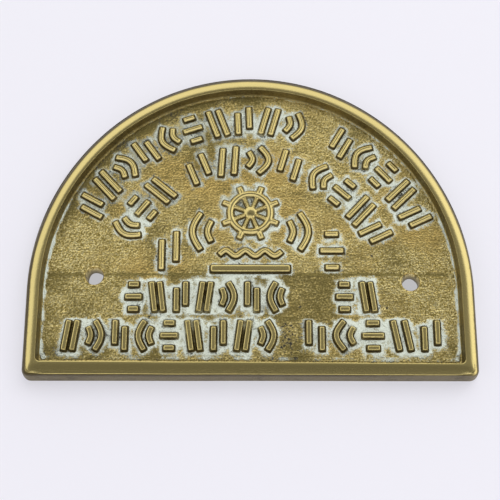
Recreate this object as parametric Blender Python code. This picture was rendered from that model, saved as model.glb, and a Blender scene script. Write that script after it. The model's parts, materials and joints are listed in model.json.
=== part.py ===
"""Cast brass wall plaque, in metres, +Z up.

The plaque stands upright against a wall: its flat back is the plane Y = 0 and its front faces -Y.
The origin is the middle of the back. A place on the front is given as (across, up) from the
middle of the back's bottom edge, and a depth is a distance in front of the wall.
"""

import math

import bmesh
import bpy

MM = 0.001

# Outline of the back: straight bottom and sides under an arch
WIDTH = 110.0 * MM
SIDE_HEIGHT = 21.4 * MM
ARCH_RISE = 57.8 * MM
CORNER_RADIUS = 2.2 * MM
HEIGHT = SIDE_HEIGHT + ARCH_RISE

# Plate and raised border
FIELD_DEPTH = 4.0 * MM
BORDER_RISE = 2.2 * MM
BORDER_SIDE = 4.6 * MM
BORDER_TOP = 5.1 * MM
BORDER_BOTTOM = 3.9 * MM
EDGE_DEPTH = 4.4 * MM
EDGE_DRAFT = 0.6 * MM
BACK_ARRIS = 0.3 * MM
CROWN_DROP = 0.12 * MM
INNER_WALL_LEAN = 0.7 * MM
INNER_EDGE_DROP = 0.5 * MM
INNER_FILLET = 0.2 * MM
INNER_CORNER_RADIUS = 0.5 * MM

# Screw holes, drilled through the field by hand and so not level with each other
HOLE_DIAMETER = 4.4 * MM
LEFT_HOLE_FROM_BORDER = 12.2 * MM
LEFT_HOLE_ABOVE_SIDES = 4.0 * MM
RIGHT_HOLE_FROM_BORDER = 11.2 * MM
RIGHT_HOLE_ABOVE_SIDES = 2.5 * MM
HOLE_OVERRUN = 1.0 * MM

# Raised strokes: a flat top with leaning sides, in rows of cells
STROKE_RISE = 1.2 * MM
STROKE_TOP_WIDTH = 0.9 * MM
STROKE_DRAFT = 0.35 * MM
STROKE_ROOT = 0.3 * MM
ROW_HEIGHT = 7.8 * MM
CELL_GAP = 1.4 * MM
STROKE_FOOT_WIDTH = STROKE_TOP_WIDTH + 2.0 * STROKE_DRAFT

# Rows on arcs: clearances from the border, and each word as (first, last, cells) in degrees from the top
ARC_ROW_SIDE_GAP = 1.3 * MM
ARC_ROW_TOP_GAP = 3.5 * MM
ARC_ROW_PITCH = 10.8 * MM
OUTER_WORDS = ((-60.8, 14.5, 10), (30.5, 64.9, 5))
INNER_WORDS = ((-62.0, -40.7, 3), (-22.2, 16.6, 4), (30.6, 64.2, 4))

# Straight rows: each word as (first, last, cells), in shares of the field's half width
BOTTOM_ROW_GAP = 2.4 * MM
STRAIGHT_ROW_PITCH = 9.7 * MM
LOWER_WORDS = ((-0.858, 0.083, 9), (0.311, 0.862, 5))
UPPER_WORDS = ((-0.563, 0.123, 7), (0.454, 0.569, 2))

# Emblem between the rows: a ship's wheel over a wave and a bar, with stepped marks on both sides
EMBLEM_GAP_BELOW = 2.2 * MM
EMBLEM_GAP_ABOVE = 2.8 * MM
BAR_LENGTH = 19.8 * MM
BAR_HEIGHT = 2.1 * MM
WAVE_GAP = 1.5 * MM
WAVE_SWING = 0.7 * MM
WAVE_LENGTH = 4.8 * MM
WAVE_COUNT = 3
WHEEL_GAP = 1.5 * MM
RIM_RADIUS_SHARE = 0.66
RIM_WIDTH_SHARE = 0.145
HUB_RADIUS_SHARE = 0.17
SPOKE_WIDTH_SHARE = 0.08
HANDLE_WIDTH_SHARE = 0.12
SPOKE_COUNT = 8
SPOKE_RISE = 1.0 * MM
HANDLE_RISE = 1.1 * MM
HUB_RISE = 1.45 * MM
MARK_HEIGHT = 10.2 * MM
MARK_WIDTH = 6.0 * MM
MARK_GAP = 1.6 * MM
MARK_PITCH = 7.9 * MM
MARK_BELOW_WHEEL = 4.9 * MM
MARK_STEP = 5.0 * MM
MARK_KINDS = ((1, 0), (4, 3))

# Facets, and the least angle between two that shows as an edge
ARCH_SEGMENTS = 56
CORNER_SEGMENTS = 4
CROWN_SEGMENTS = 5
HOLE_SEGMENTS = 32
BOW_SEGMENTS = 8
WAVE_SEGMENTS = 8
RIM_SEGMENTS = 40
HUB_SEGMENTS = 16
SHARP_ANGLE = math.radians(30.0)

# Brass, as a linear colour
BRASS_COLOUR = (0.52, 0.40, 0.15, 1.0)
BRASS_ROUGHNESS = 0.35

FIELD_HALF_WIDTH = WIDTH / 2.0 - BORDER_SIDE
FIELD_RISE = ARCH_RISE - BORDER_TOP

# Strokes of each kind of cell, as (across, up, across, up, bow) with the cell reaching from -1 to 1.
# The kinds are low and high posts, nested bows, leaning bars and stacked dashes. The strokes of a cell
# never meet, and none of them is a letter or a numeral.
CELL_KINDS = (
    ((-0.8, -1.0, -0.8, 0.5, 0.0), (0.8, -0.5, 0.8, 1.0, 0.0)),
    ((-0.2, -1.0, -0.2, 1.0, -0.8), (1.0, -0.5, 1.0, 0.5, -0.3)),
    ((-1.0, -1.0, -0.4, 1.0, 0.0), (0.4, -1.0, 1.0, 1.0, 0.0)),
    ((-0.45, 1.0, 0.45, 1.0, 0.0), (-1.0, 0.0, 1.0, 0.0, 0.0), (-0.45, -1.0, 0.45, -1.0, 0.0)),
    ((0.2, -1.0, 0.2, 1.0, 0.8), (-1.0, -0.5, -1.0, 0.5, 0.3)),
    ((-1.0, 1.0, -0.4, -1.0, 0.0), (0.4, 1.0, 1.0, -1.0, 0.0)),
    ((-0.8, -0.5, -0.8, 1.0, 0.0), (0.8, -1.0, 0.8, 0.5, 0.0)),
)
KIND_STEP = 2


def clear_scene():
    """Remove every object that the scene holds."""
    for item in list(bpy.data.objects):
        bpy.data.objects.remove(item, do_unlink=True)


def collection(name):
    """Return a new collection, linked to the scene."""
    made = bpy.data.collections.new(name)
    bpy.context.scene.collection.children.link(made)
    return made


def brass():
    """Return the brass material."""
    material = bpy.data.materials.new("cast_brass")
    material.use_nodes = True
    shader = material.node_tree.nodes["Principled BSDF"]
    shader.inputs["Base Color"].default_value = BRASS_COLOUR
    shader.inputs["Metallic"].default_value = 1.0
    shader.inputs["Roughness"].default_value = BRASS_ROUGHNESS
    return material


def on_front(place, depth):
    """Return the 3-D point at (across, up) on the front, at a depth."""
    across, up = place
    return (across, -depth, up - HEIGHT / 2.0)


def new_object(name, shape, group):
    """Finish a bmesh as an object in a collection."""
    bmesh.ops.recalc_face_normals(shape, faces=shape.faces)
    mesh = bpy.data.meshes.new(name)
    shape.to_mesh(mesh)
    shape.free()
    mesh.shade_smooth()
    mesh.set_sharp_from_angle(angle=SHARP_ANGLE)
    item = bpy.data.objects.new(name, mesh)
    group.objects.link(item)
    return item


def cutter(item):
    """Mark an object as a guide that is not part of the plaque."""
    item.hide_render = True
    item.display_type = "WIRE"
    return item


def outline(side, bottom, top, corner):
    """Return the plaque's outline, moved in by a distance at its sides, bottom and top."""
    half = WIDTH / 2.0 - side
    rise = ARCH_RISE - top
    points = []
    for step in range(CORNER_SEGMENTS + 1):
        turn = math.radians(-90.0 + 90.0 * step / CORNER_SEGMENTS)
        points.append((half - corner + corner * math.cos(turn), bottom + corner + corner * math.sin(turn)))
    for step in range(ARCH_SEGMENTS + 1):
        turn = math.pi * step / ARCH_SEGMENTS
        points.append((half * math.cos(turn), SIDE_HEIGHT + rise * math.sin(turn)))
    for step in range(CORNER_SEGMENTS + 1):
        turn = math.radians(180.0 + 90.0 * step / CORNER_SEGMENTS)
        points.append((corner - half + corner * math.cos(turn), bottom + corner + corner * math.sin(turn)))
    return points


def border_profile():
    """Return the section of edge and border as (inset, depth), from the back to the field."""
    crown_inset = BORDER_SIDE / 2.0
    crown_depth = FIELD_DEPTH + BORDER_RISE
    section = [(BACK_ARRIS, 0.0), (0.0, BACK_ARRIS)]
    for step in range(CROWN_SEGMENTS + 1):
        turn = math.radians(90.0 * step / CROWN_SEGMENTS)
        inset = crown_inset - (crown_inset - EDGE_DRAFT) * math.cos(turn)
        section.append((inset, EDGE_DEPTH + (crown_depth - EDGE_DEPTH) * math.sin(turn)))
    inner_edge = BORDER_SIDE - INNER_WALL_LEAN
    section.append(((crown_inset + inner_edge) / 2.0, crown_depth - CROWN_DROP))
    section.append((inner_edge, crown_depth - INNER_EDGE_DROP))
    section.append((BORDER_SIDE, FIELD_DEPTH + INNER_FILLET))
    section.append((BORDER_SIDE + INNER_FILLET, FIELD_DEPTH))
    return section


def plate(group):
    """Make the plate: back, leaning edge, rounded border and flat field, as rings joined in turn."""
    shape = bmesh.new()
    rings = []
    for inset, depth in border_profile():
        inward = inset / BORDER_SIDE
        corner = max(CORNER_RADIUS - inset, INNER_CORNER_RADIUS)
        places = outline(inset, inward * BORDER_BOTTOM, inward * BORDER_TOP, corner)
        rings.append([shape.verts.new(on_front(place, depth)) for place in places])
    for lower, upper in zip(rings, rings[1:]):
        for first in range(len(lower)):
            second = (first + 1) % len(lower)
            shape.faces.new((lower[first], lower[second], upper[second], upper[first]))
    shape.faces.new(rings[0])
    shape.faces.new(rings[-1])
    return new_object("plaque", shape, group)


def offset_sides(path, half_width, overrun, closed):
    """Return the left and right sides of a path, with mitred corners and lengthened ends."""
    left, right = [], []
    last = len(path) - 1
    for index, (across, up) in enumerate(path):
        before = path[index - 1] if (index or closed) else path[index]
        after = path[(index + 1) % len(path)] if (index < last or closed) else path[index]
        run_in = (across - before[0], up - before[1])
        run_out = (after[0] - across, after[1] - up)
        directions = [(run[0] / math.hypot(*run), run[1] / math.hypot(*run))
                      for run in (run_in, run_out) if math.hypot(*run) > 0.0]
        along = [sum(part) for part in zip(*directions)]
        size = math.hypot(*along)
        along = (along[0] / size, along[1] / size)
        mitre = half_width * len(directions) / size
        slide = 0.0
        if not closed:
            slide = overrun * ((index == last) - (index == 0))
        middle = (across + along[0] * slide, up + along[1] * slide)
        left.append((middle[0] - along[1] * mitre, middle[1] + along[0] * mitre))
        right.append((middle[0] + along[1] * mitre, middle[1] - along[0] * mitre))
    return left, right


def add_stroke(shape, path, width, rise, closed=False):
    """Add a raised stroke along a path on the field, rooted in the plate."""
    lean = STROKE_DRAFT / STROKE_RISE
    foot_half = width / 2.0 + lean * (rise + STROKE_ROOT)
    edges = []
    for half, depth in ((foot_half, FIELD_DEPTH - STROKE_ROOT), (width / 2.0, FIELD_DEPTH + rise)):
        for side in offset_sides(path, half, half, closed):
            edges.append([shape.verts.new(on_front(place, depth)) for place in side])
    low_left, low_right, high_left, high_right = edges
    count = len(path)
    for first in range(count if closed else count - 1):
        second = (first + 1) % count
        for one, other in ((low_left, high_left), (high_left, high_right),
                           (high_right, low_right), (low_right, low_left)):
            shape.faces.new((one[first], one[second], other[second], other[first]))
    if not closed:
        for end in (0, -1):
            shape.faces.new((low_left[end], high_left[end], high_right[end], low_right[end]))


def bowed_path(start, end, bow):
    """Return a straight stroke's two ends, or the points of a stroke that bows to one side."""
    if bow == 0.0:
        return [start, end]
    length = math.hypot(end[0] - start[0], end[1] - start[1])
    normal = ((end[1] - start[1]) / length, (start[0] - end[0]) / length)
    points = []
    for step in range(BOW_SEGMENTS + 1):
        share = step / BOW_SEGMENTS
        swing = bow * math.sin(math.pi * share)
        points.append((start[0] + (end[0] - start[0]) * share + normal[0] * swing,
                       start[1] + (end[1] - start[1]) * share + normal[1] * swing))
    return points


def add_cell(shape, kind, centre, turn, width, height):
    """Add the strokes of one cell, turned clockwise about its centre."""
    half_across = (width - STROKE_FOOT_WIDTH) / 2.0
    half_up = (height - STROKE_FOOT_WIDTH) / 2.0

    def placed(across, up):
        return (centre[0] + across * math.cos(turn) + up * math.sin(turn),
                centre[1] - across * math.sin(turn) + up * math.cos(turn))

    for u0, v0, u1, v1, bow in CELL_KINDS[kind % len(CELL_KINDS)]:
        start = placed(u0 * half_across, v0 * half_up)
        end = placed(u1 * half_across, v1 * half_up)
        add_stroke(shape, bowed_path(start, end, bow * half_across), STROKE_TOP_WIDTH, STROKE_RISE)


def spread(first, last, count):
    """Return evenly spaced values from the first to the last."""
    return [first + (last - first) * step / (count - 1) for step in range(count)]


def arc_row_reach(row):
    """Return half the width and the rise of the arch that a row's middle follows."""
    inward = ROW_HEIGHT / 2.0 + row * ARC_ROW_PITCH
    return FIELD_HALF_WIDTH - ARC_ROW_SIDE_GAP - inward, FIELD_RISE - ARC_ROW_TOP_GAP - inward


def add_arc_rows(shape):
    """Add the two rows that follow the arch."""
    for row, words in enumerate((OUTER_WORDS, INNER_WORDS)):
        half, rise = arc_row_reach(row)
        kind = row
        for first, last, count in words:
            angles = [math.radians(angle) for angle in spread(first, last, count)]
            pitch = (angles[1] - angles[0]) * (half + rise) / 2.0
            for angle in angles:
                centre = (half * math.sin(angle), SIDE_HEIGHT + rise * math.cos(angle))
                turn = math.atan2(rise * math.sin(angle), half * math.cos(angle))
                add_cell(shape, kind, centre, turn, pitch - CELL_GAP, ROW_HEIGHT)
                kind += KIND_STEP


def straight_row_height(row):
    """Return the height of a straight row's middle."""
    return BORDER_BOTTOM + BOTTOM_ROW_GAP + ROW_HEIGHT / 2.0 + row * STRAIGHT_ROW_PITCH


def add_straight_rows(shape):
    """Add the two rows along the bottom."""
    for row, words in enumerate((LOWER_WORDS, UPPER_WORDS)):
        kind = row + KIND_STEP
        for first, last, count in words:
            places = [FIELD_HALF_WIDTH * share for share in spread(first, last, count)]
            for across in places:
                centre = (across, straight_row_height(row))
                add_cell(shape, kind, centre, 0.0, places[1] - places[0] - CELL_GAP, ROW_HEIGHT)
                kind += KIND_STEP


def emblem_bottom():
    """Return the height of the emblem's bar, at its underside."""
    return straight_row_height(1) + ROW_HEIGHT / 2.0 + EMBLEM_GAP_BELOW


def wave_height():
    """Return the height of the wave's middle."""
    return emblem_bottom() + BAR_HEIGHT + WAVE_GAP + WAVE_SWING + STROKE_FOOT_WIDTH / 2.0


def wheel():
    """Return the wheel's centre height and its reach, from the room between wave and arc row."""
    rise = arc_row_reach(1)[1]
    top = SIDE_HEIGHT + rise - ROW_HEIGHT / 2.0 - EMBLEM_GAP_ABOVE
    bottom = wave_height() + WAVE_SWING + STROKE_FOOT_WIDTH / 2.0 + WHEEL_GAP
    return (top + bottom) / 2.0, (top - bottom) / 2.0


def circle(centre_up, radius, count):
    """Return points round a circle on the centre line, with a facet on that line and none of its corners."""
    turns = [2.0 * math.pi * (step + 0.5) / count for step in range(count)]
    return [(radius * math.sin(turn), centre_up + radius * math.cos(turn)) for turn in turns]


def emblem_bar(group):
    """Make the bar under the emblem."""
    shape = bmesh.new()
    middle = emblem_bottom() + BAR_HEIGHT / 2.0
    end = BAR_LENGTH / 2.0 - BAR_HEIGHT / 2.0
    add_stroke(shape, [(-end, middle), (end, middle)], BAR_HEIGHT - 2.0 * STROKE_DRAFT, STROKE_RISE)
    return new_object("emblem_bar", shape, group)


def emblem_wave(group):
    """Make the wavy line over the bar."""
    shape = bmesh.new()
    count = WAVE_COUNT * WAVE_SEGMENTS
    path = []
    for step in range(count + 1):
        across = WAVE_LENGTH * (step / WAVE_SEGMENTS - WAVE_COUNT / 2.0)
        swing = WAVE_SWING * math.sin(2.0 * math.pi * step / WAVE_SEGMENTS)
        path.append((across, wave_height() + swing))
    add_stroke(shape, path, STROKE_TOP_WIDTH, STROKE_RISE)
    return new_object("emblem_wave", shape, group)


def emblem_wheel(group):
    """Make the wheel, whose parts are shares of its reach: rim, hub, and spokes that end in handles."""
    centre, reach = wheel()
    rim_radius = RIM_RADIUS_SHARE * reach
    shape = bmesh.new()
    rim_path = circle(centre, rim_radius, RIM_SEGMENTS)
    add_stroke(shape, rim_path, RIM_WIDTH_SHARE * reach, STROKE_RISE, closed=True)
    new_object("emblem_rim", shape, group)

    hub_radius = HUB_RADIUS_SHARE * reach
    hub_foot = hub_radius + STROKE_DRAFT / STROKE_RISE * (HUB_RISE + STROKE_ROOT)
    shape = bmesh.new()
    low = [shape.verts.new(on_front(place, FIELD_DEPTH - STROKE_ROOT))
           for place in circle(centre, hub_foot, HUB_SEGMENTS)]
    high = [shape.verts.new(on_front(place, FIELD_DEPTH + HUB_RISE))
            for place in circle(centre, hub_radius, HUB_SEGMENTS)]
    for first in range(HUB_SEGMENTS):
        second = (first + 1) % HUB_SEGMENTS
        shape.faces.new((low[first], low[second], high[second], high[first]))
    shape.faces.new(low)
    shape.faces.new(high)
    new_object("emblem_hub", shape, group)

    handle_width = HANDLE_WIDTH_SHARE * reach
    handle_end = reach - STROKE_DRAFT - handle_width / 2.0
    for index in range(SPOKE_COUNT):
        turn = 2.0 * math.pi * (index + 0.5) / SPOKE_COUNT
        across, up = math.sin(turn), math.cos(turn)
        shape = bmesh.new()
        handle = [(across * stop, centre + up * stop) for stop in (rim_radius, handle_end)]
        add_stroke(shape, handle, handle_width, HANDLE_RISE)
        new_object(f"emblem_handle_{index + 1}", shape, group)
        if index < SPOKE_COUNT // 2:
            shape = bmesh.new()
            spokes = [(across * stop, centre + up * stop) for stop in (-rim_radius, rim_radius)]
            add_stroke(shape, spokes, SPOKE_WIDTH_SHARE * reach, SPOKE_RISE)
            new_object(f"emblem_spokes_{index + 1}", shape, group)


def emblem_marks(shape):
    """Add two stepped marks on each side of the wheel."""
    centre, reach = wheel()
    for side, kinds in zip((-1, 1), MARK_KINDS):
        for step, kind in enumerate(kinds):
            across = side * (reach + MARK_GAP + MARK_WIDTH / 2.0 + step * MARK_PITCH)
            up = centre - MARK_BELOW_WHEEL - step * MARK_STEP
            add_cell(shape, kind, (across, up), 0.0, MARK_WIDTH, MARK_HEIGHT)


def raised_rows(group):
    """Make every row of strokes as one mesh, because they never meet."""
    shape = bmesh.new()
    add_arc_rows(shape)
    add_straight_rows(shape)
    emblem_marks(shape)
    return new_object("stroke_rows", shape, group)


def screw_holes(group):
    """Make the two drills that cut the screw holes."""
    left = (LEFT_HOLE_FROM_BORDER - FIELD_HALF_WIDTH, SIDE_HEIGHT + LEFT_HOLE_ABOVE_SIDES)
    right = (FIELD_HALF_WIDTH - RIGHT_HOLE_FROM_BORDER, SIDE_HEIGHT + RIGHT_HOLE_ABOVE_SIDES)
    for name, place in (("left_drill", left), ("right_drill", right)):
        bpy.ops.mesh.primitive_cylinder_add(
            vertices=HOLE_SEGMENTS,
            radius=HOLE_DIAMETER / 2.0,
            depth=FIELD_DEPTH + 2.0 * HOLE_OVERRUN,
            location=on_front(place, FIELD_DEPTH / 2.0),
            rotation=(math.radians(90.0), 0.0, 0.0),
        )
        drill = bpy.context.active_object
        drill.name = name
        for user in list(drill.users_collection):
            user.objects.unlink(drill)
        group.objects.link(drill)


def combine(item, operation, group):
    """Join or cut an object with every object of a collection."""
    step = item.modifiers.new(group.name, "BOOLEAN")
    step.operation = operation
    step.operand_type = "COLLECTION"
    step.collection = group
    step.solver = "EXACT"
    step.use_self = True
    for guide in group.objects:
        cutter(guide)


def build():
    """Build the plaque."""
    clear_scene()
    whole = collection("brass_plaque")
    raised = collection("raised_work")
    drills = collection("drills")
    body = plate(whole)
    body.data.materials.append(brass())
    raised_rows(raised)
    emblem_bar(raised)
    emblem_wave(raised)
    emblem_wheel(raised)
    screw_holes(drills)
    combine(body, "UNION", raised)
    combine(body, "DIFFERENCE", drills)


build()
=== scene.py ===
"""Looks of a cast brass wall plaque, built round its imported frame.

Sizes here are millimetres. A place on the front is (across, up) from the middle of the bottom edge of the
back, and a depth is a distance in front of the wall. Meshes are made in the frame's metres, with the origin
in the middle of the back, +Z up and the front facing -Y.
"""

import json
import logging
import math
from dataclasses import dataclass, field
from enum import Enum

import bpy
import numpy as np
from mathutils import Matrix, Vector
from mathutils.geometry import delaunay_2d_cdt

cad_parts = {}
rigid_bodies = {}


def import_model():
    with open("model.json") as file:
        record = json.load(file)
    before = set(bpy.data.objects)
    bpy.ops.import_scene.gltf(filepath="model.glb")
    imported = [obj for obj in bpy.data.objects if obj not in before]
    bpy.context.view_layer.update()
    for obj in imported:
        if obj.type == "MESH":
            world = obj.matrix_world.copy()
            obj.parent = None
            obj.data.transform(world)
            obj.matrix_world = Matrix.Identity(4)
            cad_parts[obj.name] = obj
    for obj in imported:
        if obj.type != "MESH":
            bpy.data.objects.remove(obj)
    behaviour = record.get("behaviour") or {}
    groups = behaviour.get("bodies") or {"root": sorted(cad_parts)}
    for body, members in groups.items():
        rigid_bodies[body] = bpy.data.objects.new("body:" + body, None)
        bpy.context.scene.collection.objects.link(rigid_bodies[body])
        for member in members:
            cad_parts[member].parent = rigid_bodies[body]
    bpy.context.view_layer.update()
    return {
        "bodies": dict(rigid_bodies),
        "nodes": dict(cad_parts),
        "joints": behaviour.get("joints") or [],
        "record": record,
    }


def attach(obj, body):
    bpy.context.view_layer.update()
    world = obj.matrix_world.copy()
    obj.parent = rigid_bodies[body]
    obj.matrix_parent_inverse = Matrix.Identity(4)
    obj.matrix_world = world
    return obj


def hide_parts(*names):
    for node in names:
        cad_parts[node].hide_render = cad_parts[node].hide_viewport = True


LOG = logging.getLogger("plaque")
MM = 0.001


def linear(code: str) -> tuple[float, float, float, float]:
    """Turn an sRGB hex colour into a linear one.

    Args:
        code: The colour as six hex digits after a hash sign.

    Returns:
        Linear red, green and blue, with an alpha of 1.
    """
    parts = [int(code[place:place + 2], 16) / 255.0 for place in (1, 3, 5)]
    return (*(part / 12.92 if part <= 0.04045 else ((part + 0.055) / 1.055) ** 2.4 for part in parts), 1.0)


def add_node(tree: bpy.types.NodeTree, kind: str, settings: dict | None = None,
             inputs: dict | None = None) -> bpy.types.Node:
    """Add a node with its settings and links.

    Args:
        tree: The node tree that gets the node.
        kind: The node's type name.
        settings: Properties of the node by name.
        inputs: Values, or sockets to link from, by the input's name or number.

    Returns:
        The new node.
    """
    node = tree.nodes.new(kind)
    for name, value in (settings or {}).items():
        setattr(node, name, value)
    for name, value in (inputs or {}).items():
        if isinstance(value, bpy.types.NodeSocket):
            tree.links.new(value, node.inputs[name])
        else:
            node.inputs[name].default_value = value
    return node


@dataclass(frozen=True)
class Unevenness:
    """Smooth random heights over the plaque, up to an amount above and below 0."""

    amount: float
    # Distance between the random values, in millimetres
    size: float
    # Picks the random values, the same ones each run
    seed: int
    count: int = 128

    def at(self, places: np.ndarray) -> np.ndarray:
        """Return the height at each place, given as rows of (across, up)."""
        table = np.random.default_rng(self.seed).uniform(-1.0, 1.0, (self.count, self.count))
        cell = places / self.size
        corner = np.floor(cell).astype(int)
        share = cell - corner
        share = share * share * (3.0 - 2.0 * share)
        left, low = corner[:, 0] % self.count, corner[:, 1] % self.count
        right, high = (left + 1) % self.count, (low + 1) % self.count
        bottom = table[left, low] * (1.0 - share[:, 0]) + table[right, low] * share[:, 0]
        top = table[left, high] * (1.0 - share[:, 0]) + table[right, high] * share[:, 0]
        return self.amount * (bottom * (1.0 - share[:, 1]) + top * share[:, 1])


def ramp(values: np.ndarray, low: float, high: float) -> np.ndarray:
    """Return a smooth step that is 0 at the low value and 1 at the high one."""
    share = np.clip((values - low) / (high - low), 0.0, 1.0)
    return share * share * (3.0 - 2.0 * share)


def hump(values: np.ndarray, middle: float, spread: float) -> np.ndarray:
    """Return a smooth hump that is 1 at the middle value and fades out over the spread."""
    return np.exp(-((values - middle) / spread) ** 2)


def fade(gap: np.ndarray, reach: float) -> np.ndarray:
    """Return 1 where there is no gap, and less and less over the reach."""
    return np.exp(-np.maximum(gap, 0.0) / reach)


def soft_least(first: np.ndarray, second: np.ndarray, blend: float) -> np.ndarray:
    """Return the lesser of two heights, rounded off over a blend."""
    meet = np.maximum(blend - np.abs(first - second), 0.0)
    return np.minimum(first, second) - meet * meet / (4.0 * blend)


def soft_most(first: np.ndarray, second: np.ndarray, blend: float) -> np.ndarray:
    """Return the greater of two heights, rounded off over a blend."""
    return -soft_least(-first, -second, blend)


def within(places: np.ndarray, ring: np.ndarray) -> np.ndarray:
    """Tell which places lie inside a closed ring.

    Args:
        places: Rows of (across, up).
        ring: Corners of the ring, as rows of (across, up).

    Returns:
        One truth value for each place.
    """
    inside = np.zeros(len(places), dtype=bool)
    across, up = places.T
    for (x0, z0), (x1, z1) in zip(ring, np.roll(ring, -1, axis=0)):
        if z0 != z1:
            crossed = ((z0 > up) != (z1 > up)) & (across < (x1 - x0) * (up - z0) / (z1 - z0) + x0)
            inside ^= crossed
    return inside


@dataclass
class PlateForm:
    """Outline of the plate, and the section of its edge and border."""

    width: float = 110.0
    side_height: float = 21.4
    arch_rise: float = 57.8
    corner_radius: float = 2.2
    crest_corner_radius: float = 1.2
    foot_corner_radius: float = 0.6
    field_depth: float = 4.0
    border_side: float = 4.6
    border_top: float = 5.1
    border_bottom: float = 3.9
    # How much wider the worn border is at the crown of the arch
    crown_spread: float = 0.4
    # How much lower the outer edge of the border lies along the arch, where it is worn rounder
    arch_fall: float = 0.8
    arch_fall_reach: float = 3.5
    bottom_slope: float = 0.33
    rounding_passes: int = 2
    bottom_steps: int = 150
    corner_steps: int = 8
    side_steps: int = 30
    arch_steps: int = 240
    # Corners of the section as (inset, depth), from back to field, rounded off afterwards
    rounded_section: tuple = (
        (0.5, 0.0), (0.0, 0.0), (0.0, 0.5), (0.12, 1.8), (0.28, 3.2), (0.45, 4.15), (0.7, 4.7), (1.0, 5.1),
        (1.35, 5.46), (1.75, 5.76), (2.2, 5.98), (2.7, 6.13), (3.2, 6.2), (3.5, 6.19), (3.74, 6.13),
        (3.85, 5.95), (3.93, 5.5), (4.05, 4.9), (4.2, 4.25), (4.42, 4.0), (4.95, 4.0))
    # The bottom rail is flatter on its face and squarer at its outer edge
    bevelled_section: tuple = (
        (0.5, 0.0), (0.0, 0.0), (0.0, 0.5), (0.06, 1.8), (0.12, 3.4), (0.19, 4.8), (0.25, 5.4), (0.31, 5.66),
        (0.42, 5.72), (0.9, 5.82), (1.6, 5.96), (2.4, 6.09), (3.1, 6.17), (3.6, 6.2), (3.8, 6.17),
        (3.92, 6.0), (4.0, 5.5), (4.1, 4.9), (4.24, 4.25), (4.44, 4.0), (4.95, 4.0))
    # Inset at which the border's inner wall begins
    crest_end: float = 3.8
    # Heights over which the rail's section turns into that of the sides, and the same along its ends
    rail_blend: tuple = (1.5, 6.0)
    rail_end_blend: tuple = (0.5, 6.0)
    # Heights over which the slope of the bottom rail's inner edge fades out
    slope_blend: tuple = (5.0, 12.0)
    # Heights over which the arch begins to be worn
    arch_blend: tuple = (24.0, 45.0)
    # How the hand-finished border wanders as a whole, and how its width wavers
    drift: Unevenness = Unevenness(0.03, 17.0, 5)
    waver: Unevenness = Unevenness(0.07, 9.0, 6)

    @property
    def height(self) -> float:
        """Height of the whole plate."""
        return self.side_height + self.arch_rise

    @property
    def half_field(self) -> float:
        """Half the width of the field."""
        return self.width / 2.0 - self.border_side

    @property
    def field_rise(self) -> float:
        """Rise of the field's arch."""
        return self.arch_rise - self.border_top

    def outline(self, side: float, bottom: float, top: float, corner: float) -> np.ndarray:
        """Lay points evenly round the outline, moved in at its sides, bottom and top.

        Args:
            side: How far the sides are moved in.
            bottom: How far the bottom is moved in.
            top: How far the top is moved in.
            corner: Radius of the two bottom corners.

        Returns:
            Places as rows of (across, up), anticlockwise from the bottom left corner.
        """
        half = self.width / 2.0 - side
        rise = self.arch_rise - top
        inner = half - corner
        low = bottom + corner
        bottom_run = np.linspace(-inner, inner, self.bottom_steps, endpoint=False)
        turns = np.linspace(-math.pi / 2.0, 0.0, self.corner_steps, endpoint=False)
        side_run = np.linspace(low, self.side_height, self.side_steps, endpoint=False)
        arch = np.linspace(0.0, math.pi, self.arch_steps, endpoint=False)
        side_down = np.linspace(self.side_height, low, self.side_steps, endpoint=False)
        left_turns = np.linspace(math.pi, 1.5 * math.pi, self.corner_steps, endpoint=False)
        return np.concatenate((
            np.c_[bottom_run, np.full(len(bottom_run), bottom)],
            np.c_[inner + corner * np.cos(turns), low + corner * np.sin(turns)],
            np.c_[np.full(len(side_run), half), side_run],
            np.c_[half * np.cos(arch), self.side_height + rise * np.sin(arch)],
            np.c_[np.full(self.side_steps, -half), side_down],
            np.c_[corner * np.cos(left_turns) - inner, low + corner * np.sin(left_turns)],
        ))

    def smooth(self, section: tuple) -> np.ndarray:
        """Round off a section by cutting its corners, with its two ends kept."""
        points = np.array(section)
        for _ in range(self.rounding_passes):
            early = points[:-1] * 0.75 + points[1:] * 0.25
            late = points[:-1] * 0.25 + points[1:] * 0.75
            cut = np.stack((early, late), axis=1).reshape(-1, 2)
            points = np.concatenate((points[:1], cut[1:-1], points[-1:]))
        return points

    def rings(self) -> list[tuple[np.ndarray, np.ndarray, float]]:
        """Lay the rings of edge and border, from the back to the field.

        Returns:
            For each ring its places, its depths and its inset at the sides.
        """
        made = []
        for (inset, depth), (low_inset, low_depth) in zip(self.smooth(self.rounded_section),
                                                          self.smooth(self.bevelled_section)):
            share = inset / self.border_side
            low_share = low_inset / self.border_side
            least = self.crest_corner_radius if inset < self.crest_end else self.foot_corner_radius
            corner = max(self.corner_radius - inset, least)
            top = share * (self.border_top + self.crown_spread)
            places = self.outline(inset, low_share * self.border_bottom, top, corner)
            at_bottom = 1.0 - ramp(places[:, 1], *self.rail_blend)
            at_bottom *= ramp(self.width / 2.0 - np.abs(places[:, 0]), *self.rail_end_blend)
            depths = depth + (low_depth - depth) * at_bottom
            if depth > self.field_depth and inset < self.arch_fall_reach:
                on_arch = ramp(places[:, 1], *self.arch_blend)
                depths -= self.arch_fall * (1.0 - inset / self.arch_fall_reach) ** 2 * on_arch
            places = self.settle(places, share)
            made.append((places, depths, inset))
        return made

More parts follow.
